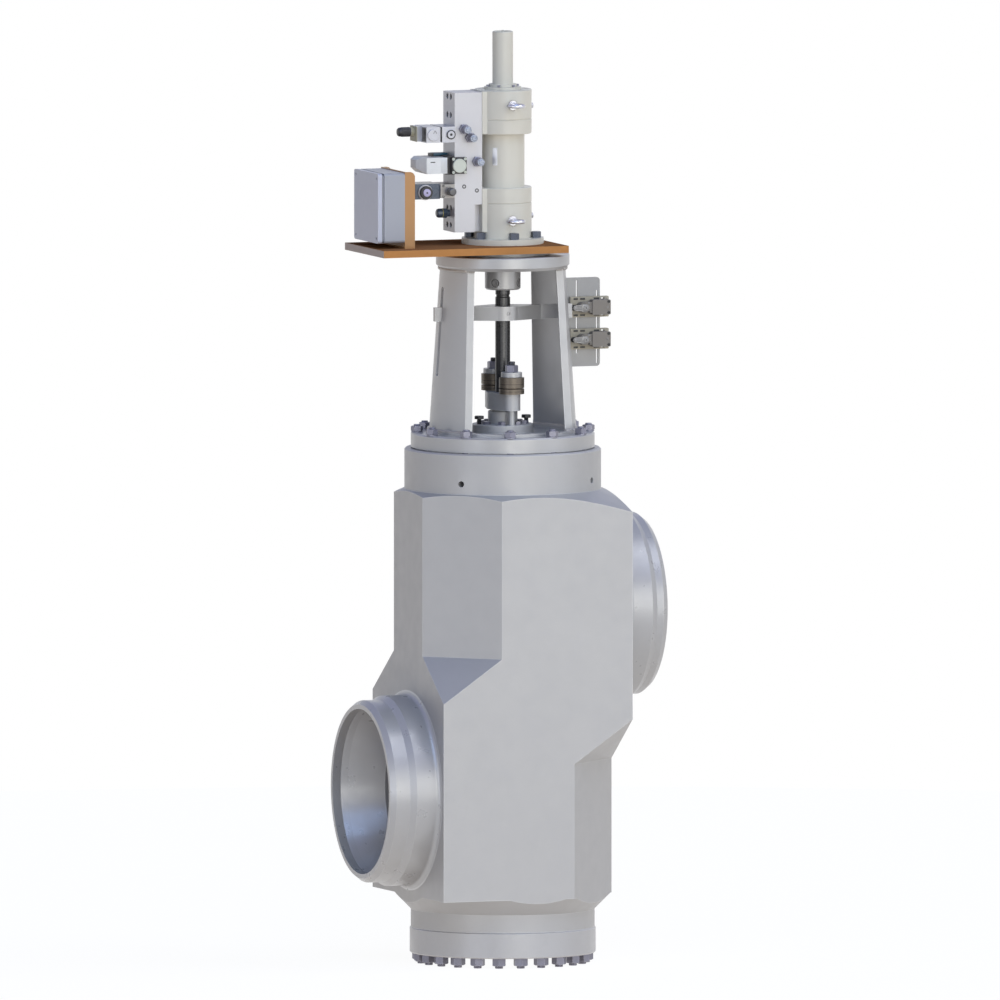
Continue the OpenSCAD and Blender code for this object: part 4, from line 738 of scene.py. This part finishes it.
class Draft:
    """Mesh under construction. Shapes go in at self.at, a matrix in millimetres."""

    def __init__(self):
        self.mesh = bmesh.new()
        self.at = Matrix.Identity(4)

    def skin(self, rings, loop=False):
        """Joins rings of points, and closes the ends or joins the last ring to the first."""
        rows = [[self.mesh.verts.new(self.at @ Vector(point)) for point in ring] for ring in rings]
        pairs = list(zip(rows, rows[1:]))
        if loop:
            pairs.append((rows[-1], rows[0]))
        for low, high in pairs:
            for i in range(len(low)):
                j = (i + 1) % len(low)
                self.mesh.faces.new((low[i], low[j], high[j], high[i]))
        if not loop:
            self.mesh.faces.new(rows[0][::-1])
            self.mesh.faces.new(rows[-1])

    def lathe(self, profile, sides=SIDES, loop=False):
        """Turned shape from (radius, z) points, upward along Z."""
        self.skin([circle(radius, z, sides) for radius, z in profile], loop)

    def button(self, radius, z0, z1, edge=0.6):
        """Round head with a rounded rim."""
        self.lathe([(radius, z0), (radius, z1 - edge), (radius - edge * 0.3, z1 - edge * 0.3),
                    (radius - edge, z1)])

    def hexagon(self, across, z0, z1, both_ends=False):
        """Hexagon head or nut with its corners turned off at 30 degrees."""
        flat = across * 0.48
        slope = math.tan(math.radians(30))
        top = [six_sided(across, lambda r: z1 - max(0, r - flat) * slope), circle(flat, z1)]
        if both_ends:
            low = [circle(flat, z0), six_sided(across, lambda r: z0 + max(0, r - flat) * slope)]
        else:
            low = [six_sided(across, z0)]
        self.skin(low + top)

    def socket_head(self, radius, z0, z1, key, edge=0.6):
        """Round head with a hexagonal socket."""
        self.skin([circle(radius, z0), circle(radius, z1 - edge), circle(radius - edge, z1),
                   six_sided(key + 0.8, z1), six_sided(key, z1 - 0.5),
                   six_sided(key, z1 - key * 0.55)])

    def thread(self, diameter, pitch, z0, z1, sides=20):
        """Screw thread with a chamfered tip at each end."""
        steps = max(4, round((z1 - z0) / pitch * 4))
        rings = []
        for k in range(steps + 1):
            z = z0 + (z1 - z0) * k / steps
            limit = diameter / 2 - 1.5 + min(z - z0, z1 - z)
            ring = []
            for i in range(sides):
                turn = (z / pitch - i / sides) % 1
                radius = min(limit, diameter / 2 - pitch * 0.5 * abs(2 * turn - 1))
                a = 2 * math.pi * i / sides
                ring.append((radius * math.cos(a), radius * math.sin(a), z))
            rings.append(ring)
        self.skin(rings)

    def knurl(self, radius, z0, z1, teeth, depth=0.6, edge=1):
        """Grip with straight teeth and chamfered ends."""
        def toothed(reach, z):
            points = []
            for i in range(teeth * 4):
                a = 2 * math.pi * i / (teeth * 4)
                r = reach - depth * (0, 0.5, 1, 0.5)[i % 4]
                points.append((r * math.cos(a), r * math.sin(a), z))
            return points
        self.skin([toothed(radius - edge, z0), toothed(radius, z0 + edge),
                   toothed(radius, z1 - edge), toothed(radius - edge, z1)])

    def block(self, low, high, bevel=1.0):
        """Block between two corners with rounded edges."""
        low, high = Vector(low), Vector(high)
        size = Matrix.Diagonal((*(high - low), 1))
        middle = Matrix.Translation((low + high) / 2)
        made = bmesh.ops.create_cube(self.mesh, size=1, matrix=self.at @ middle @ size)
        edges = list({edge for vertex in made["verts"] for edge in vertex.link_edges})
        bmesh.ops.bevel(self.mesh, geom=edges, offset=bevel, segments=2, profile=0.5,
                        affect="EDGES", clamp_overlap=True)

    def bead(self, path, radius, ripple=0.12):
        """Weld bead along a path, with a scale at every second section."""
        rings = []
        for k, (point, ahead) in enumerate(zip(path, path[1:] + [path[-1] * 2 - path[-2]])):
            turn = (ahead - point).to_track_quat("Z", "Y").to_matrix()
            r = radius * (1 + ripple * (k % 2) + random.uniform(-0.04, 0.04))
            if k in (0, len(path) - 1):
                r *= 0.5
            rings.append([point + turn @ Vector((r * math.cos(a), r * math.sin(a), 0))
                          for a in (2 * math.pi * i / 10 for i in range(10))])
        self.skin(rings)


def add_piece(name, draft, look, body, slot, *replaced):
    """Turns a draft into a piece in metres that rides on a body, in place of replaced nodes."""
    shape = draft.mesh
    bmesh.ops.scale(shape, vec=(MM, MM, MM), verts=shape.verts)
    bmesh.ops.recalc_face_normals(shape, faces=shape.faces)
    for face in shape.faces:
        face.smooth = True
    for edge in shape.edges:
        edge.smooth = edge.calc_face_angle(0) < math.radians(SHARP_ANGLE)
    mesh = bpy.data.meshes.new(name)
    shape.to_mesh(mesh)
    shape.free()
    mesh.materials.append(look)
    piece = bpy.data.objects.new(name, mesh)
    scene.collection.objects.link(piece)
    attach(piece, body)
    if replaced:
        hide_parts(*replaced)


def straight(start, end):
    """Points of a straight path, about a bead step apart."""
    start, end = Vector(start), Vector(end)
    count = max(2, round((end - start).length / BEAD_STEP))
    return [start.lerp(end, i / count) for i in range(count + 1)]


def arc(radius, z, start, end):
    """Points of an arc round the stem axis, between two angles in degrees."""
    count = max(2, round(radius * math.radians(abs(end - start)) / BEAD_STEP))
    turns = [math.radians(start + (end - start) * i / count) for i in range(count + 1)]
    return [Vector((radius * math.cos(a), radius * math.sin(a), z)) for a in turns]


# Sizes of the CAD model, in millimetres

COVER_Z = 28.5
STUD_TIP = 7
YOKE_TOP = 1489.7
LEG_Z = 1497.7
LEG_TOP = 1952
PACK_TOP = 1512.7
NUT_Z = 1661.9
NUT_TOP = 1681.9
GLAND_THREAD_Z = 1640
GLAND_STUD_TOP = 1691.9
BAR_MID_Z = 1824
BAR_HUB_RADIUS = 52
FLANGE_TOP = 2035.7
PLATE_TOP = 2019.7
UPPER_HEAD_TOP = 2452.3
SWITCH_LEVELS = (("upper", 1831), ("lower", 1741))
MANIFOLD_LEFT = 160
MANIFOLD_FRONT = 47
MANIFOLD_TOP = 2448.3
MANIFOLD_FOOT = 2108.4
SOLENOID_Z = 2332.6
SERVO_Z = 2245.3
FLOW_Z = 2173.3

# Fasteners


def make_bottom_bolting():
    """Nuts and stud ends round the bottom cover."""
    draft = Draft()
    for draft.at in on_circle(24, 233, 0, 7.5):
        draft.hexagon(36, STUD_TIP, COVER_Z, both_ends=True)
        draft.thread(24, 3, 0, STUD_TIP + 3)
        draft.lathe([(11.9, COVER_Z - 1), (11.9, COVER_Z + 60)], 20)
    add_piece("bottom_nuts", draft, BOLTING, BODY, "bolting", "bottom_bolting")


def make_yoke_bolting():
    """Nuts on washers, with stud ends, round the yoke's base."""
    draft = Draft()
    for draft.at in on_circle(12, 241, YOKE_TOP, 15):
        draft.lathe([(16.4, 0), (16.4, 2.4), (15.9, 3)])
        draft.hexagon(30, 3, 18, both_ends=True)
        draft.thread(20, 2.5, 17, 22.5)
        draft.lathe([(11.9, -60), (11.9, 1)], 20)
    add_piece("yoke_bolt_heads", draft, BOLTING, BODY, "bolting", "yoke_bolts")


def make_packing_bolting():
    """Screws of the packing box and its two jack screws."""
    draft = Draft()
    for draft.at in on_circle(8, 61, PACK_TOP, 22.5):
        draft.hexagon(20, 0.5, 9)
        draft.lathe([(9.2, 0), (9.2, 0.8)])
        draft.lathe([(4.9, -50), (4.9, 1)], 16)
    add_piece("packing_screw_heads", draft, BOLTING, BODY, "bolting", "packing_box_screws")
    draft = Draft()
    for draft.at in on_circle(2, 70, PACK_TOP):
        draft.thread(13, 2, -22.9, 14.5)
        draft.hexagon(24, 14, 23)
    add_piece("jack_screws", draft, BLACK, BODY, "bolting", "packing_box_screws")


def make_gland_bolting():
    """Nuts, threads and plain shanks of the two gland studs."""
    nuts, studs, shanks = Draft(), Draft(), Draft()
    for at in on_circle(2, 73, 0, 90):
        nuts.at = studs.at = shanks.at = at
        nuts.hexagon(32, NUT_Z, NUT_TOP, both_ends=True)
        studs.thread(20, 2.5, GLAND_THREAD_Z, GLAND_STUD_TOP, 24)
        shanks.lathe([(9.8, YOKE_TOP + 3.1), (9.8, GLAND_THREAD_Z)], 24)
    add_piece("gland_nuts", nuts, BOLTING, BODY, "bolting", "gland_bolting")
    add_piece("gland_studs", studs, DARK, BODY, "dark_steel", "gland_bolting")
    steel_look = LOOKS["machined_steel"]
    add_piece("gland_shanks", shanks, steel_look, BODY, "machined_steel", "gland_bolting")


def make_cylinder_screws():
    """Foot bolts and head screws of the cylinder, and the manifold's screws."""
    draft = Draft()
    for draft.at in on_circle(6, 95, FLANGE_TOP, -90):
        draft.hexagon(24, 0.8, 18)
        draft.lathe([(11.4, 0), (11.4, 1.2)])
        draft.lathe([(7.9, -75), (7.9, 1)], 20)
    add_piece("cylinder_foot_bolts", draft, BLUED_BOLTS, BODY, "bolting", "cylinder_screws")
    draft = Draft()
    for draft.at in on_circle(6, 66, UPPER_HEAD_TOP - 8):
        draft.lathe([(4.9, -30), (4.9, -9.5)], 16)
        draft.socket_head(7.5, -10, 0, 8)
    add_piece("head_screw_heads", draft, BOLTING, BODY, "bolting", "cylinder_screws")
    draft = Draft()
    for y in (-14, 14):
        for drop in (12.7, 64.1, 325.1, 372.9):
            draft.at = place((-MANIFOLD_LEFT, y, MANIFOLD_TOP - drop), LEFT)
            draft.socket_head(7.5, -12, -2, 8)
            draft.lathe([(4.9, -90), (4.9, -11.5)], 16)
    add_piece("manifold_screw_heads", draft, DARK, BODY, "dark_steel", "cylinder_screws")


def test_coupling(bodies, caps, at):
    """Hexagon with a neck, a knurled collar and a bright ringed cap."""
    bodies.at = caps.at = at
    bodies.hexagon(26, 0, 12)
    bodies.lathe([(9, 11.5), (9, 18.5)])
    bodies.knurl(11, 18, 34, 30, 0.5)
    caps.lathe([(10.6, 33.5), (10.6, 35.5), (9.8, 36.4), (8.6, 36.4), (8.4, 35.8), (7.2, 35.8),
                (7.0, 37.2), (5.4, 38), (3.4, 38), (3.2, 37.2), (1, 37.2)])


def make_manifold_fittings():
    """Three test couplings and the bleed plug at the manifold's foot."""
    bodies, caps = Draft(), Draft()
    for x, drop in ((-133, 101.6), (-115, 125.6), (-94, 193.6)):
        test_coupling(bodies, caps, place((x, -MANIFOLD_FRONT, MANIFOLD_TOP - drop), FRONT))
    add_piece("coupling_bodies", bodies, BOLTING, BODY, "bolting", "manifold_fittings")
    add_piece("coupling_caps", caps, BLUED_CAP, BODY, "bolting", "manifold_fittings")
    draft, ring = Draft(), Draft()
    draft.at = ring.at = place((-MANIFOLD_LEFT, 0, MANIFOLD_FOOT), LEFT)
    draft.lathe([(10, 0), (10, 8.5)])
    draft.hexagon(26, 8, 20, both_ends=True)
    draft.lathe([(13, 22), (13, 31), (11.6, 35.5), (8.5, 37.6), (4, 38)])
    ring.knurl(13, 19.8, 23, 36, 0.3, 0.3)
    add_piece("bleed_dome", draft, LOOKS["valve_blue"], BODY, "bolting", "manifold_fittings")
    add_piece("bleed_ring", ring, YELLOW, BODY, "bolting", "manifold_fittings")


# Welds


def make_welds():
    """Fillet beads round the feet and tops of the yoke legs, and one at the box's bracket."""
    draft = Draft()
    for side in (0, 180):
        for radius, z, half in ((207, LEG_Z + 1, 39.2), (190, LEG_Z + 1, 43.2),
                                (176.5, LEG_TOP - 1, 36), (159.5, LEG_TOP - 1, 40.4)):
            draft.bead(arc(radius, z, side - half, side + half), 5)
        sign = -1 if side else 1
        for y, z, inner, outer in ((131, LEG_Z + 1, 138, 159), (104, LEG_TOP - 1, 121, 141)):
            for hand in (-1, 1):
                draft.bead(straight((sign * inner, hand * y, z), (sign * outer, hand * y, z)), 5)
    add_piece("leg_welds", draft, WELD, BODY, "forged_steel")
    draft = Draft()
    draft.bead(straight((-322, -96, PLATE_TOP + 4), (-322, 96, PLATE_TOP + 4)), 6, 0.06)
    add_piece("bracket_fillet", draft, SPECIAL["box_bracket"], BODY, "copper_plate")


# Limit switches


def make_switch_trims():
    """Screws of the limit switches, and black blocks as painted shade in the slots of their bases.
    """
    black, bright = Draft(), Draft()
    for _, level in SWITCH_LEVELS:
        for x, z in ((314, 15.5), (314, -15.5)):
            black.at = place((x, -6, level + z), FRONT)
            black.socket_head(4.2, -0.5, 1.6, 2.6, 0.4)
        black.at = place((256, -2, level - 12), FRONT)
        black.socket_head(3.0, -0.5, 1.6, 2.4, 0.4)
        bright.at = place((256, -2, level + 12), FRONT)
        bright.socket_head(3.0, -0.5, 1.6, 2.4, 0.4)
        for x, z in ((260, 0), (311, 0)):
            bright.at = place((x, -6 if x > 266 else -2, level + z), FRONT)
            bright.socket_head(3.4, -0.3, 0.7, 4, 0.3)
        black.at = Matrix.Identity(4)
        # Painted shade: black blocks stand in for the shaded slots of the switch bases
        for x0, x1 in ((219, 232), (239, 253), (279, 296)):
            for side in (-1, 1):
                z = level + side * 23
                black.block((x0, 21.2, z - 2.6), (x1, 22.6, z + 2.6), 0.4)
    add_piece("switch_screws", black, BLACK, BODY, "switch_housing")
    add_piece("switch_steel_screws", bright, LEVER_STEEL, BODY, "switch_housing")


def make_lever(name, level):
    """Roller lever: clamped hub, ribbed arm, pin and roller."""
    arm, ribs, roller = Draft(), Draft(), Draft()
    x, reach = 242, 29
    arm.at = place((x, -8, level), FRONT)
    arm.button(11, 0, 6, 1)
    arm.socket_head(6, 5.9, 9.5, 5)
    arm.lathe([(4, -29), (4, 0.5)], 24)
    arm.at = Matrix.Translation((x, 0, level))
    outline = [(0, 10.6), (-reach, 7), (-reach - 4, 5.6), (-reach - 7, 0), (-reach - 4, -5.6),
               (-reach, -7), (0, -10.6)]
    arm.skin([[(px, py, pz) for px, pz in outline] for py in (-13.7, -8.3)])
    ribs.at = arm.at
    for z in (-3.6, 0, 3.6):
        ribs.block((-reach - 1, -14.2, z - 0.6), (-9, -13.2, z + 0.6), 0.3)
    arm.at = place((x - reach, -8, level), FRONT)
    arm.button(4, 5, 7.6, 0.8)
    arm.lathe([(2.4, -16), (2.4, 0)], 20)
    roller.at = place((x - reach, -8, level), (0, 1, 0))
    roller.lathe([(2.6, 0.3), (7.2, 0.3), (8, 1.1), (8, 14.2), (7.2, 15), (2.6, 15)], loop=True)
    body = node = "lever_" + name
    add_piece("lever_arm_" + name, arm, LEVER_STEEL, body, "machined_steel", node)
    add_piece("lever_ribs_" + name, ribs, DARK, body, "machined_steel", node)
    add_piece("lever_roller_" + name, roller, BLACK, body, "machined_steel", node)


# Valves on the manifold


def make_solenoid_trims():
    """Discs, joints and marks of the solenoid valve, with its connector."""
    left, z0, z1 = -MANIFOLD_LEFT, SOLENOID_Z - 21.5, SOLENOID_Z + 21.5
    dark, pale = Draft(), Draft()
    dark.at = pale.at = place((left - 13, -53, SOLENOID_Z), FRONT)
    dark.lathe([(13.4, -0.3), (13.4, 0.6), (12.8, 1), (10.6, 1)])
    pale.lathe([(10.2, 0.5), (10.2, 1.6), (9.6, 2), (4.2, 2), (3.6, 1.2), (3.5, 0.2)])
    dark.at = place((left - 13, -54.3, SOLENOID_Z), FRONT)
    dark.button(3.4, 0, 0.5, 0.3)
    pale.at = place((left - 65, -53, SOLENOID_Z), FRONT)
    pale.lathe([(16.8, -0.3), (16.8, 0.5), (16, 1.2), (14.4, 1.2), (14.2, 0.7), (1, 0.7)])
    for hand in (-1, 1):
        dark.at = place((left - 61 + hand * 2.6, -53.4, SOLENOID_Z + 8), FRONT) \
            @ Matrix.Rotation(math.radians(hand * 28), 4, "Z")
        dark.block((-0.6, -4.5, 0), (0.6, 4.5, 0.9), 0.2)
    dark.at = Matrix.Identity(4)
    dark.block((left - 41.2, -50.6, z0), (left - 38.8, 46, z1), 0.3)
    dark.block((left - 85.5, -14, SOLENOID_Z - 19), (left - 84.8, -44, SOLENOID_Z + 19), 0.2)
    add_piece("solenoid_marks", dark, BLACK, BODY, "machined_steel")
    add_piece("solenoid_discs", pale, SPECIAL["solenoid_valve"], BODY, "machined_steel")
    draft = Draft()
    draft.block((left - 99.4, -7, SOLENOID_Z - 21.6), (left - 97, 46.6, SOLENOID_Z + 21.6), 0.8)
    draft.at = place((left - 99, 20, SOLENOID_Z + 5), LEFT)
    draft.knurl(12.6, 0, 9.6, 24, 0.8, 0.6)
    add_piece("connector_nut", draft, TAN, BODY, "machined_steel")
    draft = Draft()
    draft.at = place((left - 110, 20, SOLENOID_Z + 5), LEFT)
    draft.knurl(13.7, 0, 26, 28, 0.5, 0.8)
    draft.lathe([(13, 25.5), (12.9, 29), (12, 33), (9.6, 36), (5, 37)])
    add_piece("connector_cap", draft, BLACK, BODY, "knob_black", "solenoid_cap")


def make_servo_trims():
    """Ribs, screws and plug of the servo valve, with a black block as painted shade in its slot."""
    low, high = SERVO_Z - 22.3, SERVO_Z + 22.3
    left = -MANIFOLD_LEFT
    dark, bright, white = Draft(), Draft(), Draft()
    for k in range(6):
        white.block((left - 25 - k * 3, -48.2, low + 3),
                    (left - 23.4 - k * 3, -46.6, high - 3), 0.5)
    dark.block((left - 72, -47.6, SERVO_Z + 9), (left - 58, -46.6, SERVO_Z + 11.5), 0.4)
    add_piece("servo_ribs", white, LOOKS["valve_white"], BODY, "valve_white")
    for x in (-17.5, 17.5):
        for z in (-18.5, 18.5):
            bright.at = place((left + 9 + x, -MANIFOLD_FRONT - 13, SERVO_Z + z), FRONT)
            bright.socket_head(4.2, -0.5, 2.2, 3.4, 0.5)
    bright.at = place((left + 9, -MANIFOLD_FRONT - 18, SERVO_Z), FRONT)
    bright.lathe([(19.5, -0.4), (19.5, 0.4), (18.8, 0.9), (17.2, 0.9), (17, 0.2)])
    add_piece("servo_screws", bright, PALE_CAP, BODY, "valve_white")
    # Painted shade: a black block fills the slot at the top of the servo
    dark.block((left - 21.9, -47.5, high - 1), (left - 0.5, 46, high + 4), 0.8)
    add_piece("servo_slot", dark, BLACK, BODY, "knob_black")
    teal = Draft()
    teal.block((left - 44, 5.4, high + 2), (left - 2, 36.6, high + 9.4), 0.8)
    add_piece("servo_plug", teal, TEAL, BODY, "knob_black")


def make_flow_knob():
    """Ringed grip with a bright washer and a lilac button."""
    at = place((-MANIFOLD_LEFT - 86, -40, FLOW_Z - 2), FRONT)
    washer, grip, cap, dot = Draft(), Draft(), Draft(), Draft()
    for draft in (washer, grip, cap, dot):
        draft.at = at
    washer.lathe([(5, -17), (5, 0.5), (21, 0.5), (21.5, 1), (21.5, 4), (20.5, 5), (12, 5)])
    grip.knurl(18.4, 4.6, 15, 48, 0.8, 1.2)
    cap.button(11, 14.6, 18.6, 1.2)
    dot.button(2.6, 18.2, 19, 0.4)
    body, slot, node = "flow_knob", "dark_steel", "flow_knob"
    add_piece("flow_knob_washer", washer, LOOKS["manifold_aluminium"], body, slot, node)
    add_piece("flow_knob_grip", grip, BLACK, body, slot, node)
    add_piece("flow_knob_cap", cap, LILAC, body, slot, node)
    add_piece("flow_knob_dot", dot, BLACK, body, slot, node)


def make_relief_knob():
    """Long faceted grip on a hexagon lock nut."""
    draft, nut = Draft(), Draft()
    draft.at = nut.at = place((-MANIFOLD_LEFT - 17, -MANIFOLD_FRONT, FLOW_Z), FRONT)
    nut.hexagon(20, 0.5, 8, both_ends=True)
    nut.lathe([(5, -19), (5, 1)], 24)
    draft.knurl(12, 8, 31, 12, 1.1, 1.4)
    draft.lathe([(10.4, 30.5), (10, 32.6), (8, 33.8), (4, 34)])
    add_piece("relief_knob_grip", draft, DARK, "relief_knob", "dark_steel", "relief_knob")
    add_piece("relief_knob_nut", nut, BOLTING, "relief_knob", "dark_steel", "relief_knob")


def make_valve_screws():
    """Plug screws in the manifold's front, screws of the flow valve, plugs of the heads."""
    draft = Draft()
    for x, z in ((-132, 2185), (-94, 2173)):
        draft.at = place((x, -MANIFOLD_FRONT, z), FRONT)
        draft.socket_head(6, -0.5, 0.8, 5, 0.4)
    for z in (-15, 15):
        draft.at = place((-MANIFOLD_LEFT - 34, -MANIFOLD_FRONT, FLOW_Z + z), FRONT)
        draft.socket_head(3.5, -0.5, 1.2, 3, 0.3)
    add_piece("manifold_plugs", draft, DARK, BODY, "dark_steel")
    draft = Draft()
    for z in (2404, 2095):
        draft.at = place((80, 0, z), (1, 0, 0))
        draft.lathe([(9, -1), (9, 1.6)])
        draft.hexagon(15, 1.5, 9)
    add_piece("head_plugs", draft, LOOKS["manifold_aluminium"], BODY, "cream_paint")


# Cylinder and sensor


def make_nameplate():
    """Bare plate, bent to the barrel and held by four rivets."""
    draft = Draft()
    mid, half = math.radians(-41 - 90), math.radians(6.6)
    rows = []
    section = ((60.8, 2241), (61.9, 2241.4), (61.9, 2290.6), (60.8, 2291))
    for i in range(9):
        a = mid - half + 2 * half * i / 8
        rows.append([(r * math.cos(a), r * math.sin(a), z) for r, z in section])
    draft.skin(rows)
    for z in (2244.5, 2287.5):
        for side in (-0.72, 0.72):
            a = mid + side * half
            out = Vector((math.cos(a), math.sin(a), 0))
            draft.at = place(out * 61.6 + Vector((0, 0, z)), out)
            draft.lathe([(1.3, 0), (1.1, 0.6), (0.5, 0.9)], 16)
    add_piece("blank_plate", draft, FOIL, BODY, "machined_steel")


def make_bar_screw():
    """Screw that pins the travel bar to the stem."""
    draft = Draft()
    draft.at = place((0, -BAR_HUB_RADIUS, BAR_MID_Z), FRONT)
    draft.socket_head(6.8, -16, 0.8, 6)
    add_piece("bar_screw", draft, SPECIAL["coupling_screws"], "stem_train", "machined_steel")


def make_sensor_trims():
    """Screws of the sensor's flange."""
    draft = Draft()
    for draft.at in on_circle(6, 43, UPPER_HEAD_TOP + 9, -124):
        draft.socket_head(4.5, -0.5, 4, 4)
    add_piece("sensor_screws", draft, BOLTING, BODY, "bolting")


make_bottom_bolting()
make_yoke_bolting()
make_packing_bolting()
make_gland_bolting()
make_cylinder_screws()
make_manifold_fittings()
make_welds()
make_switch_trims()
for side, level in SWITCH_LEVELS:
    make_lever(side, level)
make_solenoid_trims()
make_servo_trims()
make_flow_knob()
make_relief_knob()
make_valve_screws()
make_nameplate()
make_bar_screw()
make_sensor_trims()
